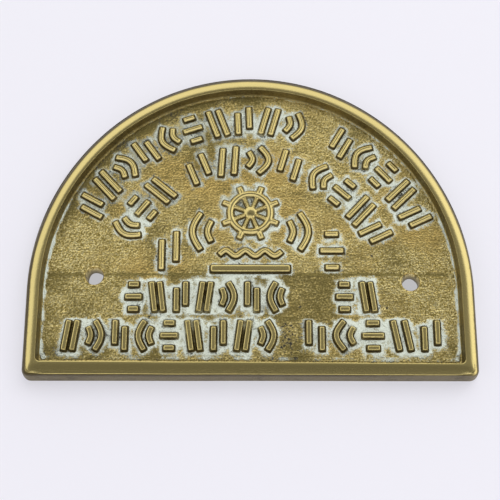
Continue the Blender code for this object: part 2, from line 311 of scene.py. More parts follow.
    def settle(self, places: np.ndarray, share: float) -> np.ndarray:
        """Let the hand-finished border wander and its bottom rail narrow to the right.

        Args:
            places: Places of one ring, as rows of (across, up).
            share: How far in the ring lies, as a share of the border's width.

        Returns:
            The moved places.
        """
        share = min(max(share, 0.0), 1.0)
        near_bottom = 1.0 - ramp(places[:, 1], *self.slope_blend)
        drop = self.bottom_slope * share * near_bottom * places[:, 0] / self.half_field
        centre = np.array((0.0, self.side_height))
        inward = centre - places
        inward /= np.linalg.norm(inward, axis=1)[:, None]
        wander = self.drift.amount + self.drift.at(places) + share * self.waver.at(places)
        moved = places + inward * wander[:, None]
        moved[:, 1] -= drop
        return moved

    def field_gap(self, places: np.ndarray) -> np.ndarray:
        """Return how far each place lies inside the border's foot."""
        across, up = places[:, 0], places[:, 1]
        rise = np.maximum(up - self.side_height, 0.0)
        out = np.hypot(across / self.half_field, rise / (self.field_rise - self.crown_spread))
        to_arch = (1.0 - out) * (self.half_field + self.field_rise) / 2.0
        to_side = self.half_field - np.abs(across)
        floor = self.border_bottom - self.bottom_slope * across / self.half_field
        return np.minimum(np.where(up > self.side_height, to_arch, to_side), up - floor)


class Strokes(Enum):
    """Kinds of cell in the rows: strokes as (across, up, across, up, bow), with the cell from -1 to 1."""

    LOW_HIGH_POSTS = ((-0.8, -1.0, -0.8, 0.5, 0.0), (0.8, -0.5, 0.8, 1.0, 0.0))
    RIGHT_BOWS = ((-0.2, -1.0, -0.2, 1.0, -0.8), (1.0, -0.5, 1.0, 0.5, -0.3))
    LEFT_LEANING_BARS = ((-1.0, -1.0, -0.4, 1.0, 0.0), (0.4, -1.0, 1.0, 1.0, 0.0))
    STACKED_DASHES = ((-0.45, 1.0, 0.45, 1.0, 0.0), (-1.0, 0.0, 1.0, 0.0, 0.0),
                      (-0.45, -1.0, 0.45, -1.0, 0.0))
    LEFT_BOWS = ((0.2, -1.0, 0.2, 1.0, 0.8), (-1.0, -0.5, -1.0, 0.5, 0.3))
    RIGHT_LEANING_BARS = ((-1.0, 1.0, -0.4, -1.0, 0.0), (0.4, 1.0, 1.0, -1.0, 0.0))
    HIGH_LOW_POSTS = ((-0.8, -0.5, -0.8, 1.0, 0.0), (0.8, -1.0, 0.8, 0.5, 0.0))


@dataclass
class RaisedStroke:
    """One raised stroke: a top worn round, with leaning sides along a path."""

    path: np.ndarray
    top_half: float = 0.46
    rise: float = 1.2
    closed: bool = False
    lean: float = 0.283
    shoulder: float = 0.12
    # How much lower the top's edges are than its middle
    crown: float = 0.34
    fillet: float = 0.5
    # How square the ends are, and the angles of the points round them
    cap_power: float = 5.0
    cap_turns: tuple = (72.0, 54.0, 45.0, 36.0, 12.0, -12.0, -36.0, -45.0, -54.0, -72.0)
    # How far out the top goes on falling, as a share of its half width
    crown_reach: float = 1.3
    step: float = 0.5
    fewest_steps: int = 10
    # Loops of points in the fillet, as shares of its width, and beside the shoulder and the fillet
    fillet_loops: tuple = (-0.7, 0.0, 0.8)
    shoulder_room: float = 0.07
    fillet_room: float = 0.12
    least_half: float = 0.04

    @property
    def foot_half(self) -> float:
        """Half the width of the foot."""
        return self.top_half + self.lean * self.rise

    def distance(self, places: np.ndarray) -> np.ndarray:
        """Return how far each place is from the path, measured nearly squarely past an open end."""
        if len(self.path) == 1:
            return np.linalg.norm(places - self.path[0], axis=1)
        ends = np.roll(self.path, -1, axis=0) if self.closed else self.path[1:]
        starts = self.path if self.closed else self.path[:-1]
        nearest = np.full(len(places), np.inf)
        for index, (start, end) in enumerate(zip(starts, ends)):
            length = np.linalg.norm(end - start)
            run = (end - start) / length
            along = (places - start) @ run
            aside = np.abs((places - start) @ np.array((-run[1], run[0])))
            beyond = np.maximum(np.maximum(-along, along - length), 0.0)
            capped = np.zeros(len(places), dtype=bool)
            if not self.closed:
                capped |= (along < 0.0) & (index == 0)
                capped |= (along > length) & (index == len(starts) - 1)
            square = (aside ** self.cap_power + beyond ** self.cap_power) ** (1.0 / self.cap_power)
            nearest = np.minimum(nearest, np.where(capped, square, np.hypot(aside, beyond)))
        return nearest

    def wall(self, distance: np.ndarray) -> np.ndarray:
        """Return the height of the leaning side, negative outside the foot."""
        return (self.foot_half - distance) / self.lean

    def height(self, distance: np.ndarray) -> np.ndarray:
        """Return the stroke's height with its shoulder and fillet rounded."""
        side = soft_most(self.wall(distance), np.zeros(len(distance)), self.fillet)
        top = self.rise - self.crown * np.minimum(distance / self.top_half, self.crown_reach) ** 2
        return soft_least(side, top, self.shoulder)

    def offset(self, half: float) -> list[np.ndarray]:
        """Lay the loops that run round the path at a distance.

        Args:
            half: The distance from the path.

        Returns:
            One loop of places, or two for a closed path.
        """
        if len(self.path) == 1:
            steps = max(self.fewest_steps, int(2.0 * math.pi * half / self.step))
            turns = np.linspace(0.0, 2.0 * math.pi, steps, endpoint=False)
            return [self.path[0] + half * np.c_[np.cos(turns), np.sin(turns)]]
        if self.closed:
            runs = np.roll(self.path, -1, axis=0) - np.roll(self.path, 1, axis=0)
        else:
            runs = np.gradient(self.path, axis=0)
        runs = runs / np.linalg.norm(runs, axis=1)[:, None]
        normals = np.c_[-runs[:, 1], runs[:, 0]]
        if self.closed:
            return [self.path + normals * half, self.path - normals * half]
        turns = np.radians(np.array(self.cap_turns))
        reach = half / (np.abs(np.cos(turns)) ** self.cap_power
                        + np.abs(np.sin(turns)) ** self.cap_power) ** (1.0 / self.cap_power)
        ahead, aside = (reach * np.cos(turns))[:, None], (reach * np.sin(turns))[:, None]
        far = self.path[-1] + runs[-1] * ahead + normals[-1] * aside
        near = self.path[0] - runs[0] * ahead - normals[0] * aside
        return [np.concatenate((self.path + normals * half, far, (self.path - normals * half)[::-1], near))]

    def all_loops(self) -> list[np.ndarray]:
        """Return every loop of places that the stroke's mesh needs, from its top to its foot."""
        bend, low, foot = self.shoulder * self.lean, self.fillet * self.lean, self.rise * self.lean
        beside = [foot + share * low for share in self.fillet_loops]
        halves = self.top_half + np.array((-bend - self.shoulder_room, -bend, bend, foot / 2.0, *beside,
                                           foot + low + self.fillet_room))
        if self.crown:
            halves[0] = self.top_half / 2.0
        return [loop for half in halves if half > self.least_half for loop in self.offset(half)]


@dataclass
class RowLayout:
    """Rows of strokes: two that follow the arch and two straight ones at the bottom."""

    plate: PlateForm
    row_height: float = 7.8
    cell_gap: float = 1.4
    foot_width: float = 1.6
    arc_side_gap: float = 1.3
    arc_top_gap: float = 3.5
    arc_pitch: float = 10.8
    # Words on the arcs as (first, last, cells) in degrees from the top
    arc_words: tuple = (((-60.8, 14.5, 10), (30.5, 64.9, 5)),
                        ((-62.0, -40.7, 3), (-22.2, 16.6, 4), (30.6, 64.2, 4)))
    bottom_gap: float = 2.4
    straight_pitch: float = 9.7
    # Words in the straight rows as (first, last, cells) in shares of half the field
    straight_words: tuple = (((-0.858, 0.083, 9), (0.311, 0.862, 5)),
                             ((-0.563, 0.123, 7), (0.454, 0.569, 2)))
    kind_step: int = 2
    point_step: float = 0.5
    # Crown of strokes filed nearly flat, as in the straight rows
    filed_crown: float = 0.03

    def cell(self, kind: Strokes, centre: tuple, turn: float, width: float, height: float,
             filed: bool = False) -> list[RaisedStroke]:
        """Make the strokes of one cell.

        Args:
            kind: The cell's strokes.
            centre: Middle of the cell.
            turn: How far the cell is turned clockwise, in radians.
            width: Width of the cell.
            height: Height of the cell.
            filed: Whether the tops are filed flat, instead of worn round.

        Returns:
            The cell's raised strokes.
        """
        half = np.array((width - self.foot_width, height - self.foot_width)) / 2.0
        turned = np.array(((math.cos(turn), -math.sin(turn)), (math.sin(turn), math.cos(turn))))
        made = []
        for u0, v0, u1, v1, bow in kind.value:
            start, end = np.array((u0, v0)) * half, np.array((u1, v1)) * half
            length = np.linalg.norm(end - start)
            shares = np.linspace(0.0, 1.0, max(2, round(length / self.point_step)))[:, None]
            aside = np.array((end[1] - start[1], start[0] - end[0])) / length
            path = start + (end - start) * shares + aside * bow * half[0] * np.sin(math.pi * shares)
            stroke = RaisedStroke(path @ turned + np.array(centre))
            if filed:
                stroke.crown = self.filed_crown
            made.append(stroke)
        return made

    def arc_reach(self, row: int) -> tuple[float, float]:
        """Return half the width and the rise of the arch that a row's middle follows."""
        inward = self.row_height / 2.0 + row * self.arc_pitch
        half = self.plate.half_field - self.arc_side_gap - inward
        return half, self.plate.field_rise - self.arc_top_gap - inward

    def arc_rows(self) -> list[RaisedStroke]:
        """Make the two rows that follow the arch."""
        kinds = list(Strokes)
        made = []
        for row, words in enumerate(self.arc_words):
            half, rise = self.arc_reach(row)
            kind = row
            for first, last, count in words:
                angles = np.radians(np.linspace(first, last, count))
                width = (angles[1] - angles[0]) * (half + rise) / 2.0 - self.cell_gap
                for angle in angles:
                    centre = (half * math.sin(angle), self.plate.side_height + rise * math.cos(angle))
                    turn = math.atan2(rise * math.sin(angle), half * math.cos(angle))
                    made += self.cell(kinds[kind % len(kinds)], centre, turn, width, self.row_height)
                    kind += self.kind_step
        return made

    def straight_height(self, row: int) -> float:
        """Return the height of a straight row's middle."""
        return self.plate.border_bottom + self.bottom_gap + self.row_height / 2.0 + row * self.straight_pitch

    def straight_rows(self) -> list[RaisedStroke]:
        """Make the two rows along the bottom."""
        kinds = list(Strokes)
        made = []
        for row, words in enumerate(self.straight_words):
            kind = row + self.kind_step
            for first, last, count in words:
                places = self.plate.half_field * np.linspace(first, last, count)
                width = places[1] - places[0] - self.cell_gap
                for across in places:
                    centre = (across, self.straight_height(row))
                    made += self.cell(kinds[kind % len(kinds)], centre, 0.0, width, self.row_height,
                                      filed=True)
                    kind += self.kind_step
        return made


@dataclass
class Emblem:
    """Ship's wheel over a wave and a bar, with stepped marks on both sides."""

    rows: RowLayout
    gap_below: float = 2.2
    gap_above: float = 2.8
    bar_length: float = 19.8
    bar_height: float = 2.1
    wave_gap: float = 1.5
    wave_swing: float = 0.7
    wave_length: float = 4.8
    wave_count: int = 3
    wave_steps: int = 16
    wheel_gap: float = 1.5
    # Radii and widths in the wheel, as shares of its reach
    rim_radius: float = 0.66
    rim_width: float = 0.145
    rim_steps: int = 72
    hub_radius: float = 0.17
    spoke_width: float = 0.08
    handle_width: float = 0.12
    spoke_count: int = 8
    spoke_rise: float = 1.0
    handle_rise: float = 1.1
    hub_rise: float = 1.45
    mark_height: float = 10.2
    mark_width: float = 6.0
    mark_gap: float = 1.6
    mark_pitch: float = 7.9
    mark_below_wheel: float = 4.9
    mark_step: float = 5.0
    mark_kinds: tuple = ((Strokes.RIGHT_BOWS, Strokes.LOW_HIGH_POSTS),
                         (Strokes.LEFT_BOWS, Strokes.STACKED_DASHES))

    @property
    def bar_bottom(self) -> float:
        """Height of the bar's underside."""
        return self.rows.straight_height(1) + self.rows.row_height / 2.0 + self.gap_below

    @property
    def wave_height(self) -> float:
        """Height of the wave's middle."""
        below = self.bar_bottom + self.bar_height + self.wave_gap
        return below + self.wave_swing + self.rows.foot_width / 2.0

    def wheel(self) -> tuple[float, float]:
        """Return the wheel's centre height and its reach."""
        rise = self.rows.arc_reach(1)[1]
        top = self.rows.plate.side_height + rise - self.rows.row_height / 2.0 - self.gap_above
        bottom = self.wave_height + self.wave_swing + self.rows.foot_width / 2.0 + self.wheel_gap
        return (top + bottom) / 2.0, (top - bottom) / 2.0

    def straight(self, start: tuple, end: tuple, width: float, rise: float) -> RaisedStroke:
        """Make a straight stroke between two places."""
        first, last = np.array(start), np.array(end)
        count = max(2, round(np.linalg.norm(last - first) / self.rows.point_step))
        return RaisedStroke(first + (last - first) * np.linspace(0.0, 1.0, count)[:, None], width / 2.0, rise)

    def strokes(self) -> list[RaisedStroke]:
        """Make every stroke of the emblem and its marks."""
        lean = RaisedStroke.lean
        rise = RaisedStroke.rise
        middle = self.bar_bottom + self.bar_height / 2.0
        end = self.bar_length / 2.0 - self.bar_height / 2.0
        bar = self.straight((-end, middle), (end, middle), self.bar_height - 2.0 * lean * rise, rise)
        bar.crown = self.rows.filed_crown
        made = [bar]

        steps = np.arange(self.wave_count * self.wave_steps + 1) / self.wave_steps
        across = self.wave_length * (steps - self.wave_count / 2.0)
        up = self.wave_height + self.wave_swing * np.sin(2.0 * math.pi * steps)
        made.append(RaisedStroke(np.c_[across, up]))

        centre, reach = self.wheel()
        hub = np.array(((0.0, centre),))
        radius = self.rim_radius * reach
        turns = np.linspace(0.0, 2.0 * math.pi, self.rim_steps, endpoint=False)
        rim = hub + radius * np.c_[np.sin(turns), np.cos(turns)]
        made.append(RaisedStroke(rim, self.rim_width * reach / 2.0, rise, closed=True))
        made.append(RaisedStroke(hub, self.hub_radius * reach, self.hub_rise))
        handle_end = reach - lean * rise - self.handle_width * reach / 2.0
        for index in range(self.spoke_count):
            turn = 2.0 * math.pi * (index + 0.5) / self.spoke_count
            run = np.array((math.sin(turn), math.cos(turn)))
            on_rim = hub[0] + run * radius
            made.append(self.straight(hub[0], on_rim, self.spoke_width * reach, self.spoke_rise))
            made.append(self.straight(on_rim, hub[0] + run * handle_end, self.handle_width * reach,
                                      self.handle_rise))

        for side, kinds in zip((-1, 1), self.mark_kinds):
            for step, kind in enumerate(kinds):
                place = side * (reach + self.mark_gap + self.mark_width / 2.0 + step * self.mark_pitch)
                up = centre - self.mark_below_wheel - step * self.mark_step
                made += self.rows.cell(kind, (place, up), 0.0, self.mark_width, self.mark_height)
        return made


@dataclass
class ScrewHole:
    """A hand-drilled screw hole with a worn rim, a little narrower at the back."""

    centre: tuple
    radius: float = 2.2
    back_radius: float = 1.92
    back_shift: tuple = (0.16, -0.08)
    # How uneven the drilled circles are, and the number of lobes in front and behind
    waver: float = 0.05
    lobes: tuple = (3.0, 4.0)
    steps: int = 40
    # Offset from the hole's wall and drop below the field, from the field inwards
    rim: tuple = ((0.42, 0.0), (0.24, 0.05), (0.1, 0.2), (0.02, 0.5))

    def circle(self, centre: np.ndarray, radius: float, lobes: float) -> np.ndarray:
        """Lay places round a drilled circle.

        Args:
            centre: Middle of the circle.
            radius: Its mean radius.
            lobes: How often it wavers on its way round.

        Returns:
            Places as rows of (across, up).
        """
        turns = np.linspace(0.0, 2.0 * math.pi, self.steps, endpoint=False)
        reach = radius + self.waver * np.sin(lobes * turns + self.centre[0])
        return centre + reach[:, None] * np.c_[np.cos(turns), np.sin(turns)]

    def ring(self, grow: float) -> np.ndarray:
        """Return the places round the hole's mouth, at a distance outside its wall."""
        return self.circle(np.array(self.centre), self.radius + grow, self.lobes[0])

    def mouth(self) -> np.ndarray:
        """Return the innermost ring in front."""
        return self.ring(self.rim[-1][0])

    def back_ring(self) -> np.ndarray:
        """Return the places round the hole in the back."""
        return self.circle(np.array(self.centre) + np.array(self.back_shift), self.back_radius, self.lobes[1])

    def gap(self, places: np.ndarray) -> np.ndarray:
        """Return how far each place is outside the hole's wall."""
        return np.linalg.norm(places - np.array(self.centre), axis=1) - self.radius


@dataclass
class FieldMarks:
    """Faults of the sand mould that show on the field: a seam across it, single pits and a porous patch."""

    seam_height: float = 25.35
    seam_half_width: float = 0.26
    seam_rise: float = 0.16
    seam_reach: float = 48.5
    seam_step: float = 0.5
    # How far from its ends the seam fades out, and how it is broken
    seam_fade: float = 3.0
    seam_breaks: Unevenness = Unevenness(0.4, 3.0, 52)
    # Single pits as (across, up, radius)
    pits: tuple = ((32.0, 17.5, 0.42), (32.9, 17.2, 0.25), (47.5, 8.0, 0.3), (22.0, 26.4, 0.22),
                   (-2.4, 15.1, 0.26), (12.0, 17.6, 0.22), (-24.4, 15.0, 0.25), (30.0, 30.5, 0.2),
                   (-44.0, 12.5, 0.22))
    patch: tuple = (9.4, 9.6)
    patch_spread: tuple = (1.25, 2.0)
    patch_count: int = 60
    patch_pit: tuple = (0.12, 0.3)
    # Least metal between two pits
    pit_room: float = 0.12
    # Depth of a pit and radius of its flat floor, as shares of its radius
    pit_depth: float = 0.75
    pit_floor: float = 0.3
    # Rings of points in a pit, as shares of its radius, and points in each
    pit_rings: tuple = (0.55, 1.0)
    pit_steps: int = 8
    # What stands for a place that has no pit near it
    far: float = 9.0
    seed: int = 51

    def all_pits(self) -> np.ndarray:
        """Return every pit as a row of (across, up, radius), none of them over another."""
        draw = np.random.default_rng(self.seed)
        kept = list(self.pits)
        for _ in range(self.patch_count):
            across, up = draw.normal(self.patch, self.patch_spread)
            radius = draw.uniform(*self.patch_pit)
            if all(math.hypot(across - x, up - z) > radius + other + self.pit_room for x, z, other in kept):
                kept.append((across, up, radius))
        return np.array(kept)

    def seam(self) -> np.ndarray:
        """Lay three rows of points along the seam."""
        across = np.arange(-self.seam_reach, self.seam_reach, self.seam_step)
        rows = [np.c_[across + shift, np.full(len(across), self.seam_height + offset)] for shift, offset in
                ((0.0, -self.seam_half_width), (self.seam_step / 2.0, 0.0), (0.0, self.seam_half_width))]
        return np.concatenate(rows)

    def pit_points(self) -> np.ndarray:
        """Lay the points that each pit needs."""
        turns = np.linspace(0.0, 2.0 * math.pi, self.pit_steps, endpoint=False)
        around = np.c_[np.cos(turns), np.sin(turns)]
        made = []
        for across, up, radius in self.all_pits():
            centre = np.array((across, up))
            made += [centre[None]] + [centre + around * radius * share for share in self.pit_rings]
        return np.concatenate(made)

    def pit_gap(self, places: np.ndarray) -> np.ndarray:
        """Return how far each place is outside the nearest pit, as a share of the pit's radius."""
        gap = np.full(len(places), self.far)
        for across, up, radius in self.all_pits():
            gap = np.minimum(gap, np.hypot(places[:, 0] - across, places[:, 1] - up) / radius - 1.0)
        return gap

    def rise(self, places: np.ndarray) -> np.ndarray:
        """Return how much seam and pits raise or sink each place."""
        off_seam = (places[:, 1] - self.seam_height) / self.seam_half_width
        ends = 1.0 - ramp(np.abs(places[:, 0]), self.seam_reach - self.seam_fade, self.seam_reach)
        broken = 1.0 - self.seam_breaks.amount + self.seam_breaks.at(places)
        seam = self.seam_rise * np.clip(1.0 - np.abs(off_seam), 0.0, 1.0) * ends * broken
        sunk = np.zeros(len(places))
        for across, up, radius in self.all_pits():
            share = np.hypot(places[:, 0] - across, places[:, 1] - up) / radius
            sunk = np.maximum(sunk, self.pit_depth * radius * (1.0 - ramp(share, self.pit_floor, 1.0)))
        return seam - sunk


@dataclass
class PointSet:
    """Places for a triangulation, with the lines that it has to keep."""

    blocks: list[np.ndarray] = field(default_factory=list)
    lines: list[tuple[int, int]] = field(default_factory=list)
    count: int = 0
    # Distance within which places count as one
    merge: float = 1e-5

    def add(self, places: np.ndarray, joined: bool = False, kept: np.ndarray | None = None) -> None:
        """Add places, joined into a closed line or left loose.

        Args:
            places: Rows of (across, up).
            joined: Whether a closed line runs through the places.
            kept: Which of the places to keep; a line breaks where one is dropped.
        """
        kept = np.ones(len(places), dtype=bool) if kept is None else kept
        numbers = self.count + np.cumsum(kept) - 1
        if joined:
            for first in range(len(places)):
                second = (first + 1) % len(places)
                if kept[first] and kept[second]:
                    self.lines.append((int(numbers[first]), int(numbers[second])))
        self.blocks.append(places[kept])
        self.count += int(kept.sum())

    def triangles(self) -> tuple[np.ndarray, np.ndarray]:
        """Triangulate the set, out to its hull.

        Returns:
            The places, and the triangles as rows of three numbers.
        """
        points = [Vector(place) for place in np.concatenate(self.blocks)]
        verts, _, faces, *_ = delaunay_2d_cdt(points, self.lines, [], 0, self.merge, False)
        return np.array([tuple(vert) for vert in verts]), np.array([face for face in faces if len(face) == 3])


@dataclass(frozen=True)
class Stain:
    """A patch of old dirt, strongest in its middle."""

    middle: tuple
    reach: tuple
    strength: float
    fall: float = 0.3

    def at(self, places: np.ndarray) -> np.ndarray:
        """Return the level of the dirt at each place."""
        away = (places - np.array(self.middle)) / np.array(self.reach)
        return self.strength - self.fall * np.hypot(*away.T)


@dataclass
class Weathering:
    """What filing, polish, wear and dirt did to the casting, and where light and shade are painted on it, as
    values on its mesh that the finish reads.

    Film, chalk and grime are levels, to which the finish adds its noises. The other values are shares from
    0 to 1. On the field each value is a sum of zones, with a weight for each.
    """

    plate: PlateForm
    marks: FieldMarks
    levels: tuple = ("film", "chalk", "grime")
    shares: tuple = ("warmth", "tarnish", "unworked", "shadowed", "polish", "grain_glint_and_shade", "skin")
    # Level where there is none, and how far a polished or a steep surface lowers it
    none: float = -3.0
    bare: tuple = (("polish", 3.0), ("shadowed", 1.8))

    # The border: where the bottom rail is, by height and by the distance from its ends
    rail_heights: tuple = (2.5, 4.5)
    rail_ends: tuple = (0.8, 3.0)
    # Insets of its inner wall and of the wall's foot; the rail's wall begins further in
    inner_wall: tuple = (3.68, 3.8)
    wall_foot: tuple = (4.34, 4.5)
    rail_wall_shift: float = 0.16
    # Inset where the polish begins, and the stretch over which it does: both change on the right and the
    # arch; on the right the polish starts further out, which is painted light where the light falls from that
    # side
    polish_start: float = 1.25
    polish_start_lit_right: float = -0.33
    polish_blend: float = 0.55
    polish_blend_arch: float = 0.6
    right_end: tuple = (20.0, 45.0)
    # Inset from which all is polished, and depths over which the rail's face turns polished
    crest: float = 3.0
    rail_face: tuple = (5.7, 5.76)
    # Depths of the dark outer edge, how much lighter it is painted on the right where the light falls, and
    # how dark the steep surfaces are: on the inner wall that is painted shade
    outer_edge: tuple = (3.8, 4.8)
    outer_edge_lit_right: float = 0.7
    outer_dark: float = 0.8
    inner_dark: float = 0.75
    # How much of the cast skin is left where the border is polished, and more in its inner wall
    polished_skin: tuple = (0.06, 0.6)

    # The field: heights over which the straight rows end and the arched ones begin
    low_rows: tuple = (24.0, 29.0)
    arcs: tuple = (36.0, 44.0)
    # The left half of the arched rows, and the middle and the right of the straight ones
    left: tuple = (-14.0, 14.0)
    low_middle: float = 26.0
    low_right: tuple = (15.0, 40.0)
    # Reach of the tarnish under the arch, and the stain on the seam as (up from its middle, spread)
    edge_reach: float = 1.6
    seam_line: tuple = (0.2, 0.15)
    # Bands between the straight rows and above the bottom rail, as (height, spread)
    between_rows: tuple = (15.05, 0.6)
    above_rail: tuple = (5.0, 0.6)
    # Warm patches, as (across, up, reach) and in the middle as (up, reach across, reach up)
    warm_left: tuple = (-36.0, 32.0, 9.0)
    warm_middle: tuple = (50.0, 25.0, 14.0)
    # Number of strokes close by, from which residue stays between them
    cell_crowd: float = 0.9
    cell_most: float = 1.3
    # Where residue and dirt lie thickest outside a stroke's foot, and how far they reach from there
    foot_ring: float = 0.2
    foot_ring_reach: float = 0.35
    clouds: tuple = (("broad", Unevenness(1.0, 4.2, 41)), ("fine", Unevenness(1.0, 1.1, 44)),
                     ("warm_clouds", Unevenness(1.0, 9.0, 45)), ("tarnish_clouds", Unevenness(1.0, 6.0, 46)),
                     ("dirt_clouds", Unevenness(1.0, 3.4, 47)), ("rail_clouds", Unevenness(1.0, 5.0, 48)),
                     ("arch_clouds", Unevenness(1.0, 2.5, 50)))
    # Each value as zones with their weights
    warmth: tuple = (("warm_clouds", 0.4), ("warm_left", 0.35), ("warm_middle", 0.25))
    # low_middle and low_right make the straight rows darker in their middle and lighter to the right.
    tarnish: tuple = (("low_rows", 0.16), ("low_middle", 0.16), ("low_right", -0.22),
                      ("tarnish_clouds", 0.25), ("left_arcs", 0.15), ("left_arch_edge", 0.9), ("seam", 1.2))
    film: tuple = (("all", 0.38), ("low_rows", 0.3), ("cells", 0.55), ("broad", 0.5), ("fine", 0.25),
                   ("between_rows", -0.9), ("left_arcs", 0.25), ("arcs", 0.12), ("off_strokes", -0.8))
    chalk: tuple = (("all", -0.06), ("film", 0.5), ("fine", 0.15), ("at_feet", 0.3), ("arcs", -0.1),
                    ("left_arcs", -0.2))
    # Dirt round the strokes, under the left of the arch and between its strokes, and a darker band above the
    # bottom rail
    grime: tuple = ((("all", -0.3), ("round_feet", 0.6), ("dirt_clouds", 0.4)),
                    (("all", -0.3), ("left_arcs", 0.7), ("edge", -0.15), ("arch_clouds", 0.2)),
                    (("all", -0.15), ("left_arcs", 0.5), ("off_strokes", -0.3)),
                    (("all", -0.25), ("above_rail", 0.3), ("rail_clouds", 0.25)))
    # In the lower left corner, and in the porous patch
    stains: tuple = (Stain((-47.8, 6.0), (2.0, 1.5), 0.4), Stain((9.4, 9.3), (1.4, 1.9), 0.25))
    # Level of the dirt in a pit, and its fall outside
    pit_dirt: tuple = (0.55, 1.2)
    # How strongly the field's grain is painted with glints and darker hollows, less so in the middle
    grain_least: float = 0.82
    grain_more: float = 0.22
    grain_sides: tuple = (14.0, 36.0)
    # Distances inside a stroke's foot over which the painted shade on its side ends, less dark where strokes
    # crowd
    side_dark: tuple = (-0.27, -0.07)
    crowded: tuple = (1.6, 2.2)
    crowded_light: float = 0.22
    top_skin: float = 0.93

    # The border's foot: heights over which its line of residue thins out, more so on the right
    line_heights: tuple = (33.0, 60.0)
    line_thinning: tuple = (0.5, 0.45)
    line_left: tuple = (-25.0, 5.0)
    line_width: float = 0.75
    line_breaks: tuple = (Unevenness(0.5, 2.6, 42), Unevenness(0.3, 0.9, 43))
    # Heights over which the line along the bottom rail ends, and how much fainter that line is
    rail_line: tuple = (5.2, 6.5)
    rail_line_less: float = 0.25
    # Middle of the line and how far the rail moves it in, with the fall beside it
    line_middle: tuple = (0.1, 0.6)
    line_fall: float = 1.5
    chalk_below_line: float = 0.25
    film_above_line: float = 0.15
    dirt_breaks: Unevenness = Unevenness(0.3, 1.7, 49)
    # The dark line at the border's foot is darker along the bottom rail.
    dark_line_rail_more: float = 0.15
    dirt_middle: tuple = (0.05, 0.1)
    dirt_fall: float = 0.9

    def record(self, mesh: bpy.types.Mesh, places: np.ndarray, depths: np.ndarray, insets: np.ndarray,
               back_start: int, relief: dict[str, np.ndarray]) -> None:
        """Keep the values on the casting's mesh.

        Args:
            mesh: The casting's mesh.
            places: Places of all its points: the border's rings, the field and the back.
            depths: Depths of all its points.
            insets: How far in each point of the border's rings lies.
            back_start: Number of the back's first point.
            relief: What the field's relief gives for each of its points.
        """
        values = {name: np.full(len(places), self.none) for name in self.levels}
        values.update({name: np.zeros(len(places)) for name in self.shares})
        values["unworked"][back_start:] = 1.0
        values["skin"][back_start:] = 1.0
        rings, span, front = slice(0, len(insets)), slice(len(insets), back_start), slice(0, back_start)
        for name, value in self.on_border(places[rings], depths[rings], insets).items():
            values[name][rings] = value
        for name, value in self.on_field(places[span], relief).items():
            values[name][span] = value
        from_foot = np.concatenate((insets - self.plate.border_side, relief["edge"]))
        for name, value in self.at_border_foot(places[front], from_foot).items():
            values[name][front] = np.maximum(values[name][front], value)
        for name in self.levels:
            values[name] -= sum(fall * values[share] for share, fall in self.bare)
        for name, value in values.items():
            mesh.attributes.new(name, "FLOAT", "POINT").data.foreach_set("value", value.astype(np.float32))

    def on_border(self, places: np.ndarray, depths: np.ndarray, insets: np.ndarray) -> dict[str, np.ndarray]:
        """Work out the values of the border: polished on top, brown outside, with painted shade on its inner
        wall and its outer edge painted lighter on the right, where the light falls.

        Args:
            places: Places of the points of its rings.
            depths: Their depths.
            insets: How far in they lie.

        Returns:
            Arrays by name.
        """
        across, up = places.T
        rail = 1.0 - ramp(up, *self.rail_heights)
        rail *= ramp(self.plate.width / 2.0 - np.abs(across), *self.rail_ends)
        wall = ramp(insets - self.rail_wall_shift * rail, *self.inner_wall)
        foot = ramp(insets, *self.wall_foot)
        on_right = ramp(across, *self.right_end)
        blend = self.polish_blend + self.polish_blend_arch * ramp(up, *self.plate.arch_blend)
        # On the right the polish starts further out: painted light where the light falls from that side.
        polished = ramp((insets - self.polish_start - self.polish_start_lit_right * on_right) / blend, 0.0, 1.0)
        polished += (ramp(depths, *self.rail_face) - polished) * rail
        polished = np.where(insets < self.crest, polished, 1.0)
        # The outer edge is painted less dark on the right, where the light falls.
        outer = ramp(depths, *self.outer_edge) * (1.0 - polished) * (1.0 - self.outer_edge_lit_right * on_right)
        least, more = self.polished_skin
        return {
            "unworked": 1.0 - polished,
            # The inner wall's darkness is painted shade.
            "shadowed": np.maximum(self.inner_dark * wall * (1.0 - foot), self.outer_dark * outer),
            "polish": polished * (1.0 - wall),
            "skin": np.maximum(1.0 - polished, least + more * wall),
        }

    def zones(self, places: np.ndarray, relief: dict[str, np.ndarray]) -> dict[str, np.ndarray]:
        """Work out how much each place of the field belongs to each zone.

        Args:
            places: Places of the field's points.
            relief: What the field's relief gives for them.

        Returns:
            Arrays by the zone's name.
        """
        across, up = places.T
        gap, edge = relief["gap"], relief["edge"]
        left_across, left_up, left_reach = self.warm_left
        middle_up, reach_across, reach_up = self.warm_middle
        low_rows = 1.0 - ramp(up, *self.low_rows)
        arcs = ramp(up, *self.arcs)
        left_arcs = arcs * ramp(-across, *self.left)
        seam_shift, seam_spread = self.seam_line
        made = {
            "all": np.ones(len(places)),
            "low_rows": low_rows,
            "low_middle": low_rows * hump(across, 0.0, self.low_middle),
            "low_right": low_rows * ramp(across, *self.low_right),
            "arcs": arcs,
            "left_arcs": left_arcs,
            "left_arch_edge": left_arcs * fade(edge, self.edge_reach),
            "edge": edge,
            "seam": hump(up, self.marks.seam_height + seam_shift, seam_spread),
            "between_rows": hump(up, *self.between_rows),
            "above_rail": hump(up, *self.above_rail),
            "warm_left": fade(np.hypot(across - left_across, up - left_up), left_reach),
            "warm_middle": hump(across, 0.0, reach_across) * hump(up, middle_up, reach_up),
            "cells": np.clip(relief["crowd"] - self.cell_crowd, 0.0, self.cell_most),
            "off_strokes": np.maximum(gap, 0.0),
            "at_feet": fade(gap - self.foot_ring, self.foot_ring_reach),
            "round_feet": fade(np.abs(gap - self.foot_ring), self.foot_ring_reach),
        }
        made.update({name: cloud.at(places) for name, cloud in self.clouds})
        return made

